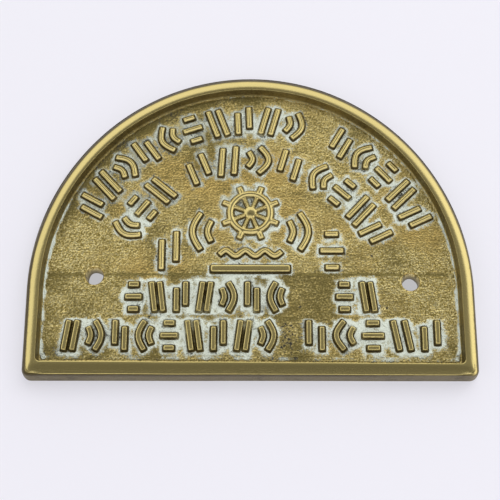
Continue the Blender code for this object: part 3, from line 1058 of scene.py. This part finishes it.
    def on_field(self, places: np.ndarray, relief: dict[str, np.ndarray]) -> dict[str, np.ndarray]:
        """Work out the values of the field and its strokes.

        Args:
            places: Places of the field's points.
            relief: What the field's relief gives for them.

        Returns:
            Arrays by name.
        """
        zones = self.zones(places, relief)

        def weighed(weights: tuple) -> np.ndarray:
            """Add up zones by their weights."""
            return sum(weight * zones[name] for name, weight in weights)

        tops = relief["tops"]
        film = weighed(self.film)
        zones["film"] = np.minimum(film, 1.0)
        level, fall = self.pit_dirt
        dirt = [weighed(weights) for weights in self.grime] + [stain.at(places) for stain in self.stains]
        dirt.append(level - fall * np.maximum(relief["pit"], 0.0))
        # Painted shade on the strokes' sides and just outside their feet, with some dirt.
        sides = ramp(-relief["gap"], *self.side_dark) * (1.0 - tops)
        return {
            "film": film,
            "chalk": weighed(self.chalk),
            "grime": np.maximum.reduce(dirt),
            "warmth": weighed(self.warmth),
            "tarnish": weighed(self.tarnish),
            "shadowed": sides * (1.0 - self.crowded_light * ramp(relief["crowd"], *self.crowded)),
            "polish": tops,
            "skin": 1.0 - self.top_skin * tops,
            "grain_glint_and_shade": self.grain_least + self.grain_more * ramp(np.abs(places[:, 0]), *self.grain_sides),
        }

    def at_border_foot(self, places: np.ndarray, from_foot: np.ndarray) -> dict[str, np.ndarray]:
        """Work out the broken line of residue and dirt where border and field meet.

        Args:
            places: Places of the points of border and field.
            from_foot: How far inside the border's foot they lie.

        Returns:
            Arrays by name.
        """
        across, up = places.T
        on_rail = 1.0 - ramp(up, *self.rail_line)
        everywhere, on_right = self.line_thinning
        thinning = ramp(up, *self.line_heights) * (everywhere + on_right * ramp(-across, *self.line_left))
        wide, fine = (breaks.at(places) for breaks in self.line_breaks)
        middle, moved = self.line_middle
        line = (1.0 - thinning) * (self.line_width + wide) + fine - self.rail_line_less * on_rail
        line -= self.line_fall * np.abs(from_foot - middle - moved * on_rail)
        middle, moved = self.dirt_middle
        dirt = self.dirt_breaks.at(places) + self.dark_line_rail_more * on_rail
        dirt -= self.dirt_fall * np.abs(from_foot - middle - moved * on_rail)
        return {"chalk": line - self.chalk_below_line, "film": line + self.film_above_line, "grime": dirt}


@dataclass
class CastPlaque:
    """The brass casting as one closed fine mesh."""

    plate: PlateForm = field(default_factory=PlateForm)
    marks: FieldMarks = field(default_factory=FieldMarks)
    strokes: list[RaisedStroke] = field(default_factory=list)
    holes: list[ScrewHole] = field(default_factory=list)
    # Middles of the holes, in from the sides of the field and up from the foot of the arch
    left_hole: tuple = (12.2, 4.0)
    right_hole: tuple = (11.2, 2.5)
    grid: float = 0.55
    back_grid: float = 1.6
    # How unevenly the grid's points lie, as a share of the grid
    grid_play: float = 0.12
    seed: int = 11
    # Room that loose points keep from the border's foot, the holes and the strokes, and from pits and
    # seam as shares of their own size
    edge_room: float = 0.75
    hole_room: float = 0.9
    foot_room: float = 0.5
    pit_room: float = 0.5
    seam_room: float = 1.7
    # The same room in the back, as shares of its grid
    back_edge_room: float = 0.6
    back_hole_room: float = 0.5
    # How far above the other strokes' sides a stroke's own side has to be to keep its points
    side_lead: float = 0.02
    # How two strokes run into each other: the rounding, and depth and sharpness of the groove between them
    meeting: float = 0.08
    groove: float = 0.02
    groove_sharpness: float = 40.0
    # Spread of a stroke's neighbourhood, and how far from a stroke its effects are followed
    crowd_spread: float = 4.5
    stroke_reach: float = 7.0
    # Heights of a stroke, as shares of its edge's, over which its side turns into its top
    top_share: tuple = (0.8, 0.98)
    # Unevenness of the cast field, of the worn tops and of the back, which stays within the wall's plane
    field_uneven: tuple = (Unevenness(0.05, 13.0, 21), Unevenness(0.035, 4.0, 22), Unevenness(0.03, 1.6, 23),
                           Unevenness(0.035, 0.75, 24))
    field_calm: tuple = (0.1, 1.5)
    stroke_calm: tuple = (-0.5, 0.0)
    top_uneven: Unevenness = Unevenness(0.03, 2.2, 25)
    back_uneven: Unevenness = Unevenness(0.06, 3.0, 31)
    back_calm: tuple = (-3.5, -1.0)

    def build(self) -> bpy.types.Object:
        """Make the casting's mesh and dress it."""
        rows = RowLayout(self.plate)
        self.strokes = rows.arc_rows() + rows.straight_rows() + Emblem(rows).strokes()
        half, foot = self.plate.half_field, self.plate.side_height
        self.holes = [ScrewHole((self.left_hole[0] - half, foot + self.left_hole[1])),
                      ScrewHole((half - self.right_hole[0], foot + self.right_hole[1]))]
        rings = self.plate.rings()
        front, front_faces = self.lay_front(rings[-1][0])
        back, back_faces = self.lay_back(rings[0][0])
        relief = self.relief(front)
        return self.join(rings, front, front_faces, back, back_faces, relief)

    def clear_of_holes(self, places: np.ndarray, room: float) -> np.ndarray:
        """Return which places are outside both holes by some room."""
        return np.all([hole.gap(places) > room for hole in self.holes], axis=0)

    @staticmethod
    def near(places: np.ndarray, stroke: RaisedStroke, room: float) -> np.ndarray:
        """Return which places lie in the box round a stroke, grown by some room."""
        low, high = stroke.path.min(axis=0) - room, stroke.path.max(axis=0) + room
        return np.all((places > low) & (places < high), axis=1)

    def hexes(self, pitch: float) -> np.ndarray:
        """Lay a slightly uneven triangular grid over the plate."""
        rows = np.arange(0.0, self.plate.height, pitch * math.sqrt(0.75))
        columns = np.arange(-self.plate.width / 2.0, self.plate.width / 2.0, pitch)
        up, across = np.meshgrid(rows, columns, indexing="ij")
        across = across + (np.arange(len(rows)) % 2)[:, None] * pitch / 2.0
        places = np.c_[across.ravel(), up.ravel()]
        play = np.random.default_rng(self.seed).uniform(-self.grid_play, self.grid_play, places.shape)
        return places + play * pitch

    def lay_front(self, edge: np.ndarray) -> tuple[np.ndarray, np.ndarray]:
        """Triangulate the field with all that rises from it.

        Args:
            edge: Places of the border's innermost ring.

        Returns:
            The places and the triangles.
        """
        points = PointSet()
        points.add(edge, joined=True)
        for hole in self.holes:
            for grow, _ in hole.rim:
                points.add(hole.ring(grow), joined=True)
        for stroke in self.strokes:
            loops = [(loop, True) for loop in stroke.all_loops()] + [(stroke.path, False)]
            for loop, joined in loops:
                own = np.minimum(stroke.wall(stroke.distance(loop)), stroke.rise)
                kept = own >= self.steepest(loop, stroke) + self.side_lead
                points.add(loop, joined, kept)
        grid = self.hexes(self.grid)
        off_seam = np.abs(grid[:, 1] - self.marks.seam_height)
        grid = grid[(self.marks.pit_gap(grid) > self.pit_room)
                    & (off_seam > self.seam_room * self.marks.seam_half_width)]
        for loose in (grid, np.concatenate((self.marks.seam(), self.marks.pit_points()))):
            clear = self.plate.field_gap(loose) > self.edge_room
            clear &= self.clear_of_holes(loose, self.hole_room) & (self.nearest_foot(loose) > self.foot_room)
            points.add(loose[clear])
        return self.inside(points, edge, [hole.mouth() for hole in self.holes])

    def lay_back(self, edge: np.ndarray) -> tuple[np.ndarray, np.ndarray]:
        """Triangulate the back inside its outermost ring."""
        points = PointSet()
        points.add(edge, joined=True)
        for hole in self.holes:
            points.add(hole.back_ring(), joined=True)
        grid = self.hexes(self.back_grid)
        clear = self.plate.field_gap(grid) > self.back_grid * self.back_edge_room - self.plate.border_bottom
        points.add(grid[clear & self.clear_of_holes(grid, self.back_grid * self.back_hole_room)])
        return self.inside(points, edge, [hole.back_ring() for hole in self.holes])

    @staticmethod
    def inside(points: PointSet, edge: np.ndarray, mouths: list[np.ndarray]) -> tuple[np.ndarray, np.ndarray]:
        """Triangulate points inside an edge and outside the holes.

        Args:
            points: The points and the lines that they keep.
            edge: Ring round the outside.
            mouths: Rings of the holes.

        Returns:
            The places and the triangles.
        """
        places, faces = points.triangles()
        middles = places[faces].mean(axis=1)
        kept = within(middles, edge)
        for mouth in mouths:
            kept &= ~within(middles, mouth)
        return places, faces[kept]

    def nearest_foot(self, places: np.ndarray, far: float = 4.0) -> np.ndarray:
        """Return how far each place is outside the nearest stroke's foot, up to a limit."""
        gap = np.full(len(places), far)
        for stroke in self.strokes:
            near = self.near(places, stroke, far + 1.0)
            gap[near] = np.minimum(gap[near], stroke.distance(places[near]) - stroke.foot_half)
        return gap

    def steepest(self, places: np.ndarray, but: RaisedStroke, far: float = 4.0) -> np.ndarray:
        """Return the greatest side height at each place over all near strokes but one."""
        most = np.full(len(places), -np.inf)
        low, high = places.min(axis=0) - far, places.max(axis=0) + far
        for stroke in self.strokes:
            away = np.any((stroke.path.min(axis=0) > high) | (stroke.path.max(axis=0) < low))
            if stroke is but or away:
                continue
            near = self.near(places, stroke, far)
            if near.any():
                side = np.minimum(stroke.wall(stroke.distance(places[near])), stroke.rise)
                most[near] = np.maximum(most[near], side)
        return most

    def relief(self, places: np.ndarray) -> dict[str, np.ndarray]:
        """Work out the height of the field and its strokes, and what the finish needs to know.

        Args:
            places: Rows of (across, up) on the field.

        Returns:
            Arrays by name: depth, gap (from the nearest stroke's foot), tops (0 to 1), crowd (how many
            strokes are close by), edge (how far inside the border's foot) and pit (gap from the nearest pit).
        """
        rise = np.zeros(len(places))
        gap = np.full(len(places), self.stroke_reach - 1.0)
        tops = np.zeros(len(places))
        crowd = np.zeros(len(places))
        for stroke in self.strokes:
            near = self.near(places, stroke, self.stroke_reach)
            distance = stroke.distance(places[near])
            height = stroke.height(distance)
            groove = self.groove * np.exp(-np.abs(rise[near] - height) * self.groove_sharpness)
            rise[near] = soft_most(rise[near], height, self.meeting) - groove
            outside = distance - stroke.foot_half
            gap[near] = np.minimum(gap[near], outside)
            tops[near] = np.maximum(tops[near], ramp(height / (stroke.rise - stroke.crown), *self.top_share))
            crowd[near] += np.exp(-np.maximum(outside, 0.0) ** 2 / self.crowd_spread)
        rise = np.maximum(rise, 0.0)
        edge = self.plate.field_gap(places)
        calm = ramp(edge, *self.field_calm) * ramp(-rise, *self.stroke_calm)
        uneven = sum(one.at(places) for one in self.field_uneven) + self.marks.rise(places)
        depth = self.plate.field_depth + uneven * calm + rise + self.top_uneven.at(places) * tops
        for hole in self.holes:
            grows, drops = zip(*reversed(hole.rim))
            depth -= np.interp(hole.gap(places), grows, drops)
        return {"depth": depth, "gap": gap, "tops": tops, "crowd": crowd, "edge": edge,
                "pit": self.marks.pit_gap(places)}

    def join(self, rings: list, front: np.ndarray, front_faces: np.ndarray, back: np.ndarray,
             back_faces: np.ndarray, relief: dict[str, np.ndarray]) -> bpy.types.Object:
        """Join rings, field, hole walls and back into one closed mesh.

        Args:
            rings: Places and depths of the border's rings.
            front: Places of the field.
            front_faces: Triangles of the field.
            back: Places of the back.
            back_faces: Triangles of the back.
            relief: Heights and finish values of the field.

        Returns:
            The object.
        """
        edge_count = len(rings[0][0])
        inner_rings = rings[1:-1]
        ring_places = np.concatenate([ring for ring, _, _ in inner_rings])
        ring_depths = np.concatenate([depths for _, depths, _ in inner_rings])
        ring_insets = np.repeat([inset for _, _, inset in inner_rings], edge_count)
        front_start = len(ring_places)
        back_start = front_start + len(front)
        back_depths = self.back_uneven.amount + self.back_uneven.at(back)
        back_depths *= ramp(self.plate.field_gap(back), *self.back_calm)
        places = np.concatenate((ring_places, front, back))
        depths = np.concatenate((ring_depths, relief["depth"], back_depths))

        front_ring = front_start + self.matching(front, rings[-1][0])
        back_ring = back_start + self.matching(back, rings[0][0])
        belts = [back_ring]
        belts += [np.arange(edge_count) + index * edge_count for index in range(len(inner_rings))]
        belts.append(front_ring)
        depths[front_ring] = rings[-1][1]
        faces = []
        for outer, inner in zip(belts, belts[1:]):
            faces.append(np.c_[outer, np.roll(outer, -1), np.roll(inner, -1)])
            faces.append(np.c_[outer, np.roll(inner, -1), inner])
        faces.append(front_faces + front_start)
        faces.append(back_faces[:, ::-1] + back_start)
        for hole in self.holes:
            front_rim = front_start + self.matching(front, hole.mouth())
            back_rim = back_start + self.matching(back, hole.back_ring())
            faces.append(np.c_[front_rim, np.roll(front_rim, -1), np.roll(back_rim, -1)])
            faces.append(np.c_[front_rim, np.roll(back_rim, -1), back_rim])
        faces = np.concatenate(faces)

        corners = np.c_[places[:, 0], -depths, places[:, 1] - self.plate.height / 2.0] * MM
        mesh = bpy.data.meshes.new("cast_plaque")
        mesh.from_pydata(corners.tolist(), [], faces.tolist())
        mesh.validate()
        mesh.shade_smooth()
        Weathering(self.plate, self.marks).record(mesh, places, depths, ring_insets, back_start, relief)
        piece = bpy.data.objects.new("cast_plaque", mesh)
        bpy.context.scene.collection.objects.link(piece)
        LOG.info("cast_plaque: %d triangles", len(faces))
        return piece

    @staticmethod
    def matching(places: np.ndarray, wanted: np.ndarray) -> np.ndarray:
        """Return the number of the place that lies on each wanted one."""
        found = []
        for place in wanted:
            found.append(int(np.argmin(np.abs(places - place).sum(axis=1))))
        return np.array(found)


@dataclass(frozen=True)
class Finish:
    """One finish on the casting: its colour and how it takes the light."""

    colour: str
    roughness: float
    metallic: float = 1.0


@dataclass(frozen=True)
class Coat:
    """A finish over the ones before it, wherever a value kept on the mesh is high enough."""

    finish: Finish
    kept: str
    # Noises that break it up, as (noise, how much of it is added)
    broken_by: tuple = ()
    start: float = 0.0
    full: float = 1.0
    # How far it stands out, as a share of the casting's own texture
    build_up: float = 0.0


class Texture(Enum):
    """Noises in the brass, as (size in millimetres, detail, stretch along each axis).

    Grain and brushing stand for sand and wire marks of 0.1 to 0.3 mm, drawn as coarse as they need to show.
    """

    GRAIN = (0.5, 1.0, (1.0, 1.0, 1.0))
    SPECKLE = (0.32, 0.0, (1.0, 1.0, 1.0))
    BRUSHING = (0.5, 2.0, (0.06, 1.0, 1.0))
    MOTTLE = (1.6, 4.0, (1.0, 1.0, 1.0))
    BLOTCHES = (7.0, 3.0, (1.0, 1.0, 1.0))


@dataclass(frozen=True)
class BrassFinishes:
    """Cast brass, polished on what stands out, with residue and grime in what lies deep, painted shade on
    steep sides and painted glints on the grain.
    """

    # Sand-cast brass cleaned by hand: golden, grainy, with soft reflections
    golden: Finish = Finish("#F8E190", 0.33)
    bump_depth: float = 0.24
    # How much each noise roughens the cast skin
    roughened_by: tuple = ((Texture.GRAIN, 1.0), (Texture.BRUSHING, 0.35), (Texture.MOTTLE, 0.35))
    noise_roughness: float = 0.6
    coats: tuple = (
        # High grains, rubbed bright, with a painted glint
        Coat(Finish("#FFF0AC", 0.28), "grain_glint_and_shade", ((Texture.SPECKLE, 3.0),), 2.55, 3.0),
        # Low places between the grains, duller, with painted shade
        Coat(Finish("#AC9A54", 0.4), "grain_glint_and_shade", ((Texture.SPECKLE, -3.0),), -0.42, 0.1),
        # Warmer brass in patches
        Coat(Finish("#F0D17C", 0.34), "warmth", ((Texture.BLOTCHES, 1.0), (Texture.GRAIN, 0.7)), 0.8, 1.4),
        # Tarnished brass, olive and duller
        Coat(Finish("#998B52", 0.42), "tarnish",
             ((Texture.BLOTCHES, 0.9), (Texture.MOTTLE, 0.8), (Texture.BRUSHING, 0.6), (Texture.GRAIN, 1.5)),
             1.7, 2.45),
        # Edge and back, never polished: brown patina
        Coat(Finish("#766A45", 0.42), "unworked"),
        # Darker brown blotches in that patina
        Coat(Finish("#5A4F34", 0.48), "unworked", ((Texture.BLOTCHES, 1.4), (Texture.MOTTLE, 1.0)), 2.1, 2.7),
        # Steep sides of strokes and border and a thin rim round the strokes' feet: painted shade with some
        # dirt, and brown patina on the border's outer edge
        Coat(Finish("#51472A", 0.46, 0.85), "shadowed"),
        # Brushed and polished yellow brass: even and clear
        Coat(Finish("#E6D48C", 0.22), "polish"),
        # Thin film of dried metal polish that dulls the brass
        Coat(Finish("#B0AD8C", 0.6, 0.3), "film", ((Texture.MOTTLE, 1.1), (Texture.GRAIN, 0.7)), 0.85, 1.6,
             0.2),
        # Dried metal polish with a little verdigris: chalky pale grey-green
        Coat(Finish("#E0E8D8", 0.85, 0.0), "chalk", ((Texture.MOTTLE, 1.3), (Texture.GRAIN, 1.0)), 0.95, 1.6,
             0.5),
        # Old dirt: nearly black, dull specks
        Coat(Finish("#33322A", 0.6, 0.2), "grime", ((Texture.MOTTLE, 1.5), (Texture.GRAIN, 1.4)), 1.5, 2.3,
             0.1),
    )

    def material(self) -> bpy.types.Material:
        """Make the brass material, which reads the values kept on the mesh."""
        made = bpy.data.materials.new("sand_cast_brass_polished_and_tarnished")
        made.use_nodes = True
        tree = made.node_tree
        tree.nodes.clear()
        where = add_node(tree, "ShaderNodeTexCoord")
        noises = {}
        for texture in Texture:
            size, detail, stretch = texture.value
            scale = [part / (size * MM) for part in stretch]
            scaled = add_node(tree, "ShaderNodeMapping", {},
                              {"Vector": where.outputs["Object"], "Scale": scale})
            noise = add_node(tree, "ShaderNodeTexNoise", {},
                             {"Vector": scaled.outputs[0], "Scale": 1.0, "Detail": detail,
                              "Roughness": self.noise_roughness})
            noises[texture] = noise.outputs["Fac"]

        height = 0.0
        for texture, weight in self.roughened_by:
            height = add_node(tree, "ShaderNodeMath", {"operation": "MULTIPLY_ADD"},
                              {0: noises[texture], 1: weight, 2: height}).outputs[0]
        skin = add_node(tree, "ShaderNodeAttribute", {"attribute_name": "skin"}).outputs["Fac"]
        height = add_node(tree, "ShaderNodeMath", {"operation": "MULTIPLY"}, {0: height, 1: skin}).outputs[0]

        colour, roughness, metallic = linear(self.golden.colour), self.golden.roughness, self.golden.metallic
        for coat in self.coats:
            share = add_node(tree, "ShaderNodeAttribute", {"attribute_name": coat.kept}).outputs["Fac"]
            for texture, weight in coat.broken_by:
                share = add_node(tree, "ShaderNodeMath", {"operation": "MULTIPLY_ADD"},
                                 {0: noises[texture], 1: weight, 2: share}).outputs[0]
            share = add_node(tree, "ShaderNodeMapRange", {"interpolation_type": "SMOOTHSTEP"},
                             {"Value": share, "From Min": coat.start, "From Max": coat.full}).outputs[0]
            colour = add_node(tree, "ShaderNodeMix", {"data_type": "RGBA"},
                              {0: share, 6: colour, 7: linear(coat.finish.colour)}).outputs[2]
            roughness = add_node(tree, "ShaderNodeMix", {"data_type": "FLOAT"},
                                 {0: share, 2: roughness, 3: coat.finish.roughness}).outputs[0]
            metallic = add_node(tree, "ShaderNodeMix", {"data_type": "FLOAT"},
                                {0: share, 2: metallic, 3: coat.finish.metallic}).outputs[0]
            if coat.build_up:
                height = add_node(tree, "ShaderNodeMath", {"operation": "MULTIPLY_ADD"},
                                  {0: share, 1: coat.build_up, 2: height}).outputs[0]
        bump = add_node(tree, "ShaderNodeBump", {},
                        {"Strength": 1.0, "Distance": self.bump_depth * MM, "Height": height})
        shader = add_node(tree, "ShaderNodeBsdfPrincipled", {},
                          {"Base Color": colour, "Roughness": roughness, "Metallic": metallic,
                           "Normal": bump.outputs[0]})
        add_node(tree, "ShaderNodeOutputMaterial", {}, {"Surface": shader.outputs[0]})
        return made


@dataclass(frozen=True)
class StudioPaper:
    """Matt white translucent sheet for wall and floor, lit from behind so that its shadow stays faint."""

    colour: str = "#A2A1A6"
    glow: str = "#F9F8FF"
    glow_strength: float = 0.53
    roughness: float = 0.9
    tooth_size: float = 1.0 / 1.5
    tooth_depth: float = 0.05
    tooth_strength: float = 0.15

    def material(self) -> bpy.types.Material:
        """Make the paper material with a faint tooth."""
        made = bpy.data.materials.new("matt_studio_paper")
        made.use_nodes = True
        tree = made.node_tree
        tree.nodes.clear()
        where = add_node(tree, "ShaderNodeTexCoord")
        tooth = add_node(tree, "ShaderNodeTexNoise", {},
                         {"Vector": where.outputs["Object"], "Scale": 1.0 / (self.tooth_size * MM)})
        bump = add_node(tree, "ShaderNodeBump", {},
                        {"Strength": self.tooth_strength, "Distance": self.tooth_depth * MM,
                         "Height": tooth.outputs["Fac"]})
        shader = add_node(tree, "ShaderNodeBsdfPrincipled", {},
                          {"Base Color": linear(self.colour), "Roughness": self.roughness,
                           "Emission Color": linear(self.glow), "Emission Strength": self.glow_strength,
                           "Normal": bump.outputs[0]})
        add_node(tree, "ShaderNodeOutputMaterial", {}, {"Surface": shader.outputs[0]})
        return made


@dataclass(frozen=True)
class LightPanel:
    """A soft patch of the light tent that is brighter or darker than the rest."""

    # Direction of its middle and its reach, both as (right, into the wall, up) with the tent 1 away
    middle: tuple
    reach: tuple
    change: float
    # Shares of the reach between which it fades out
    fade: tuple = (0.7, 1.3)


@dataclass
class Studio:
    """Wall, floor, camera and light round the plaque."""

    plate: PlateForm
    wall_half: float = 700.0
    wall_top: float = 900.0
    floor_drop: float = 700.0
    floor_half: float = 1500.0
    # How far the plaque laps over the opening in the wall, and the gap behind it
    wall_overlap: float = 0.6
    wall_gap: float = 0.05
    # Where the camera of the photograph stood, and how it looked
    camera_place: tuple = (0.386, -280.0, -99.28)
    camera_pitch: float = 0.3208
    camera_yaw: float = -0.0017
    camera_roll: float = -0.0014
    camera_lens: float = 84.935
    camera_near: float = 10.0
    tent_colour: str = "#FDFCFF"
    tent_light: float = 1.02
    panels: tuple = (
        # The opening in front, where the camera stands
        LightPanel((0.1, -1.0, -0.04), (0.78, 1.3, 0.7), -0.78, (0.8, 1.12)),
        # It is darker low down
        LightPanel((0.0, -1.0, -0.3), (0.6, 1.0, 0.4), -0.09),
        # Window on the right
        LightPanel((0.97, -0.25, 0.25), (0.45, 0.6, 0.7), 0.2),
        # Darker side of the room
        LightPanel((-0.95, -0.3, 0.1), (0.5, 0.7, 0.7), -0.06),
        # Behind the wall there is less light
        LightPanel((0.0, 1.0, 0.0), (1.1, 0.9, 1.1), -0.5),
    )
    # Softbox, in millimetres and watts
    softbox_place: tuple = (300.0, -800.0, 350.0)
    softbox_size: tuple = (900.0, 600.0)
    softbox_power: float = 4.4

    def build(self) -> None:
        """Make everything round the plaque."""
        paper = StudioPaper().material()
        self.wall(paper)
        self.floor(paper)
        self.camera()
        self.light_tent()
        self.overhead_softbox()
        bpy.context.scene.view_settings.view_transform = "Standard"

    def stage_piece(self, name: str, corners: np.ndarray, faces: np.ndarray,
                    paper: bpy.types.Material) -> None:
        """Make a piece of the stage from its corners in millimetres."""
        mesh = bpy.data.meshes.new(name)
        mesh.from_pydata((corners * MM).tolist(), [], faces.tolist())
        mesh.materials.append(paper)
        piece = bpy.data.objects.new(name, mesh)
        bpy.context.scene.collection.objects.link(piece)
        LOG.info("%s: stage", name)

    def wall(self, paper: bpy.types.Material) -> None:
        """Make the wall, open behind the plaque so that its back can be seen."""
        inset = self.wall_overlap
        opening = self.plate.outline(inset, inset, inset, self.plate.corner_radius - inset)
        half, middle = self.wall_half, self.plate.height / 2.0
        frame = np.array(((-half, middle - self.floor_drop), (half, middle - self.floor_drop),
                          (half, middle + self.wall_top), (-half, middle + self.wall_top)))
        points = PointSet()
        points.add(frame, joined=True)
        points.add(opening, joined=True)
        places, faces = points.triangles()
        faces = faces[~within(places[faces].mean(axis=1), opening)]
        corners = np.c_[places[:, 0], np.full(len(places), self.wall_gap), places[:, 1] - middle]
        self.stage_piece("wall_panel", corners, faces, paper)

    def floor(self, paper: bpy.types.Material) -> None:
        """Make the floor under the plaque."""
        half = self.floor_half
        corners = np.array(((-half, -half, 0.0), (half, -half, 0.0), (half, half, 0.0), (-half, half, 0.0)))
        corners[:, 2] = -self.floor_drop
        self.stage_piece("studio_floor", corners, np.array(((0, 1, 2, 3),)), paper)

    def camera(self) -> None:
        """Stand the camera where the photograph was taken from."""
        data = bpy.data.cameras.new("camera")
        data.lens = self.camera_lens
        data.clip_start = self.camera_near * MM
        camera = bpy.data.objects.new("camera", data)
        right = Vector((math.cos(self.camera_yaw), -math.sin(self.camera_yaw), 0.0))
        level = Vector((math.sin(self.camera_yaw), math.cos(self.camera_yaw), 0.0))
        rise = Vector((0.0, 0.0, 1.0))
        ahead = level * math.cos(self.camera_pitch) + rise * math.sin(self.camera_pitch)
        above = rise * math.cos(self.camera_pitch) - level * math.sin(self.camera_pitch)
        turned_right = right * math.cos(self.camera_roll) - above * math.sin(self.camera_roll)
        turned_above = right * math.sin(self.camera_roll) + above * math.cos(self.camera_roll)
        turn = Matrix((turned_right, turned_above, -ahead)).transposed()
        camera.matrix_world = Matrix.Translation(Vector(self.camera_place) * MM) @ turn.to_4x4()
        bpy.context.scene.collection.objects.link(camera)
        bpy.context.scene.camera = camera

    def light_tent(self) -> None:
        """Surround the plaque with soft white light, with a dark opening in front where the camera stands."""
        world = bpy.data.worlds.new("light_tent")
        bpy.context.scene.world = world
        world.use_nodes = True
        tree = world.node_tree
        tree.nodes.clear()
        where = add_node(tree, "ShaderNodeTexCoord").outputs["Generated"]
        light = self.tent_light
        for panel in self.panels:
            aside = add_node(tree, "ShaderNodeVectorMath", {"operation": "SUBTRACT"},
                             {0: where, 1: panel.middle})
            share = add_node(tree, "ShaderNodeVectorMath", {"operation": "DIVIDE"},
                             {0: aside.outputs[0], 1: panel.reach})
            away = add_node(tree, "ShaderNodeVectorMath", {"operation": "LENGTH"}, {0: share.outputs[0]})
            change = add_node(tree, "ShaderNodeMapRange", {"interpolation_type": "SMOOTHSTEP"},
                              {"Value": away.outputs["Value"], "From Min": panel.fade[0],
                               "From Max": panel.fade[1], "To Min": panel.change, "To Max": 0.0})
            light = add_node(tree, "ShaderNodeMath", {"operation": "ADD"},
                             {0: change.outputs[0], 1: light}).outputs[0]
        background = add_node(tree, "ShaderNodeBackground", {},
                              {"Color": linear(self.tent_colour), "Strength": light})
        add_node(tree, "ShaderNodeOutputWorld", {}, {"Surface": background.outputs[0]})

    def overhead_softbox(self) -> None:
        """Hang a softbox above and in front of the plaque, which doesn't mirror it."""
        data = bpy.data.lights.new("overhead_softbox", "AREA")
        data.shape = "RECTANGLE"
        data.size, data.size_y = (side * MM for side in self.softbox_size)
        data.energy = self.softbox_power
        light = bpy.data.objects.new("overhead_softbox", data)
        light.visible_glossy = False
        light.location = Vector(self.softbox_place) * MM
        light.rotation_euler = (-light.location).to_track_quat("-Z", "Y").to_euler()
        bpy.context.scene.collection.objects.link(light)


def main() -> None:
    """Build the casting and its studio round the frame."""
    logging.basicConfig(level=logging.INFO, format="%(message)s")
    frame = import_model()
    LOG.info("frame: %d nodes", len(frame["nodes"]))
    plate = PlateForm()
    casting = CastPlaque(plate).build()
    casting.data.materials.append(BrassFinishes().material())
    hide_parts("plaque")
    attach(casting, "root")
    Studio(plate).build()


if __name__ == "__main__":
    main()
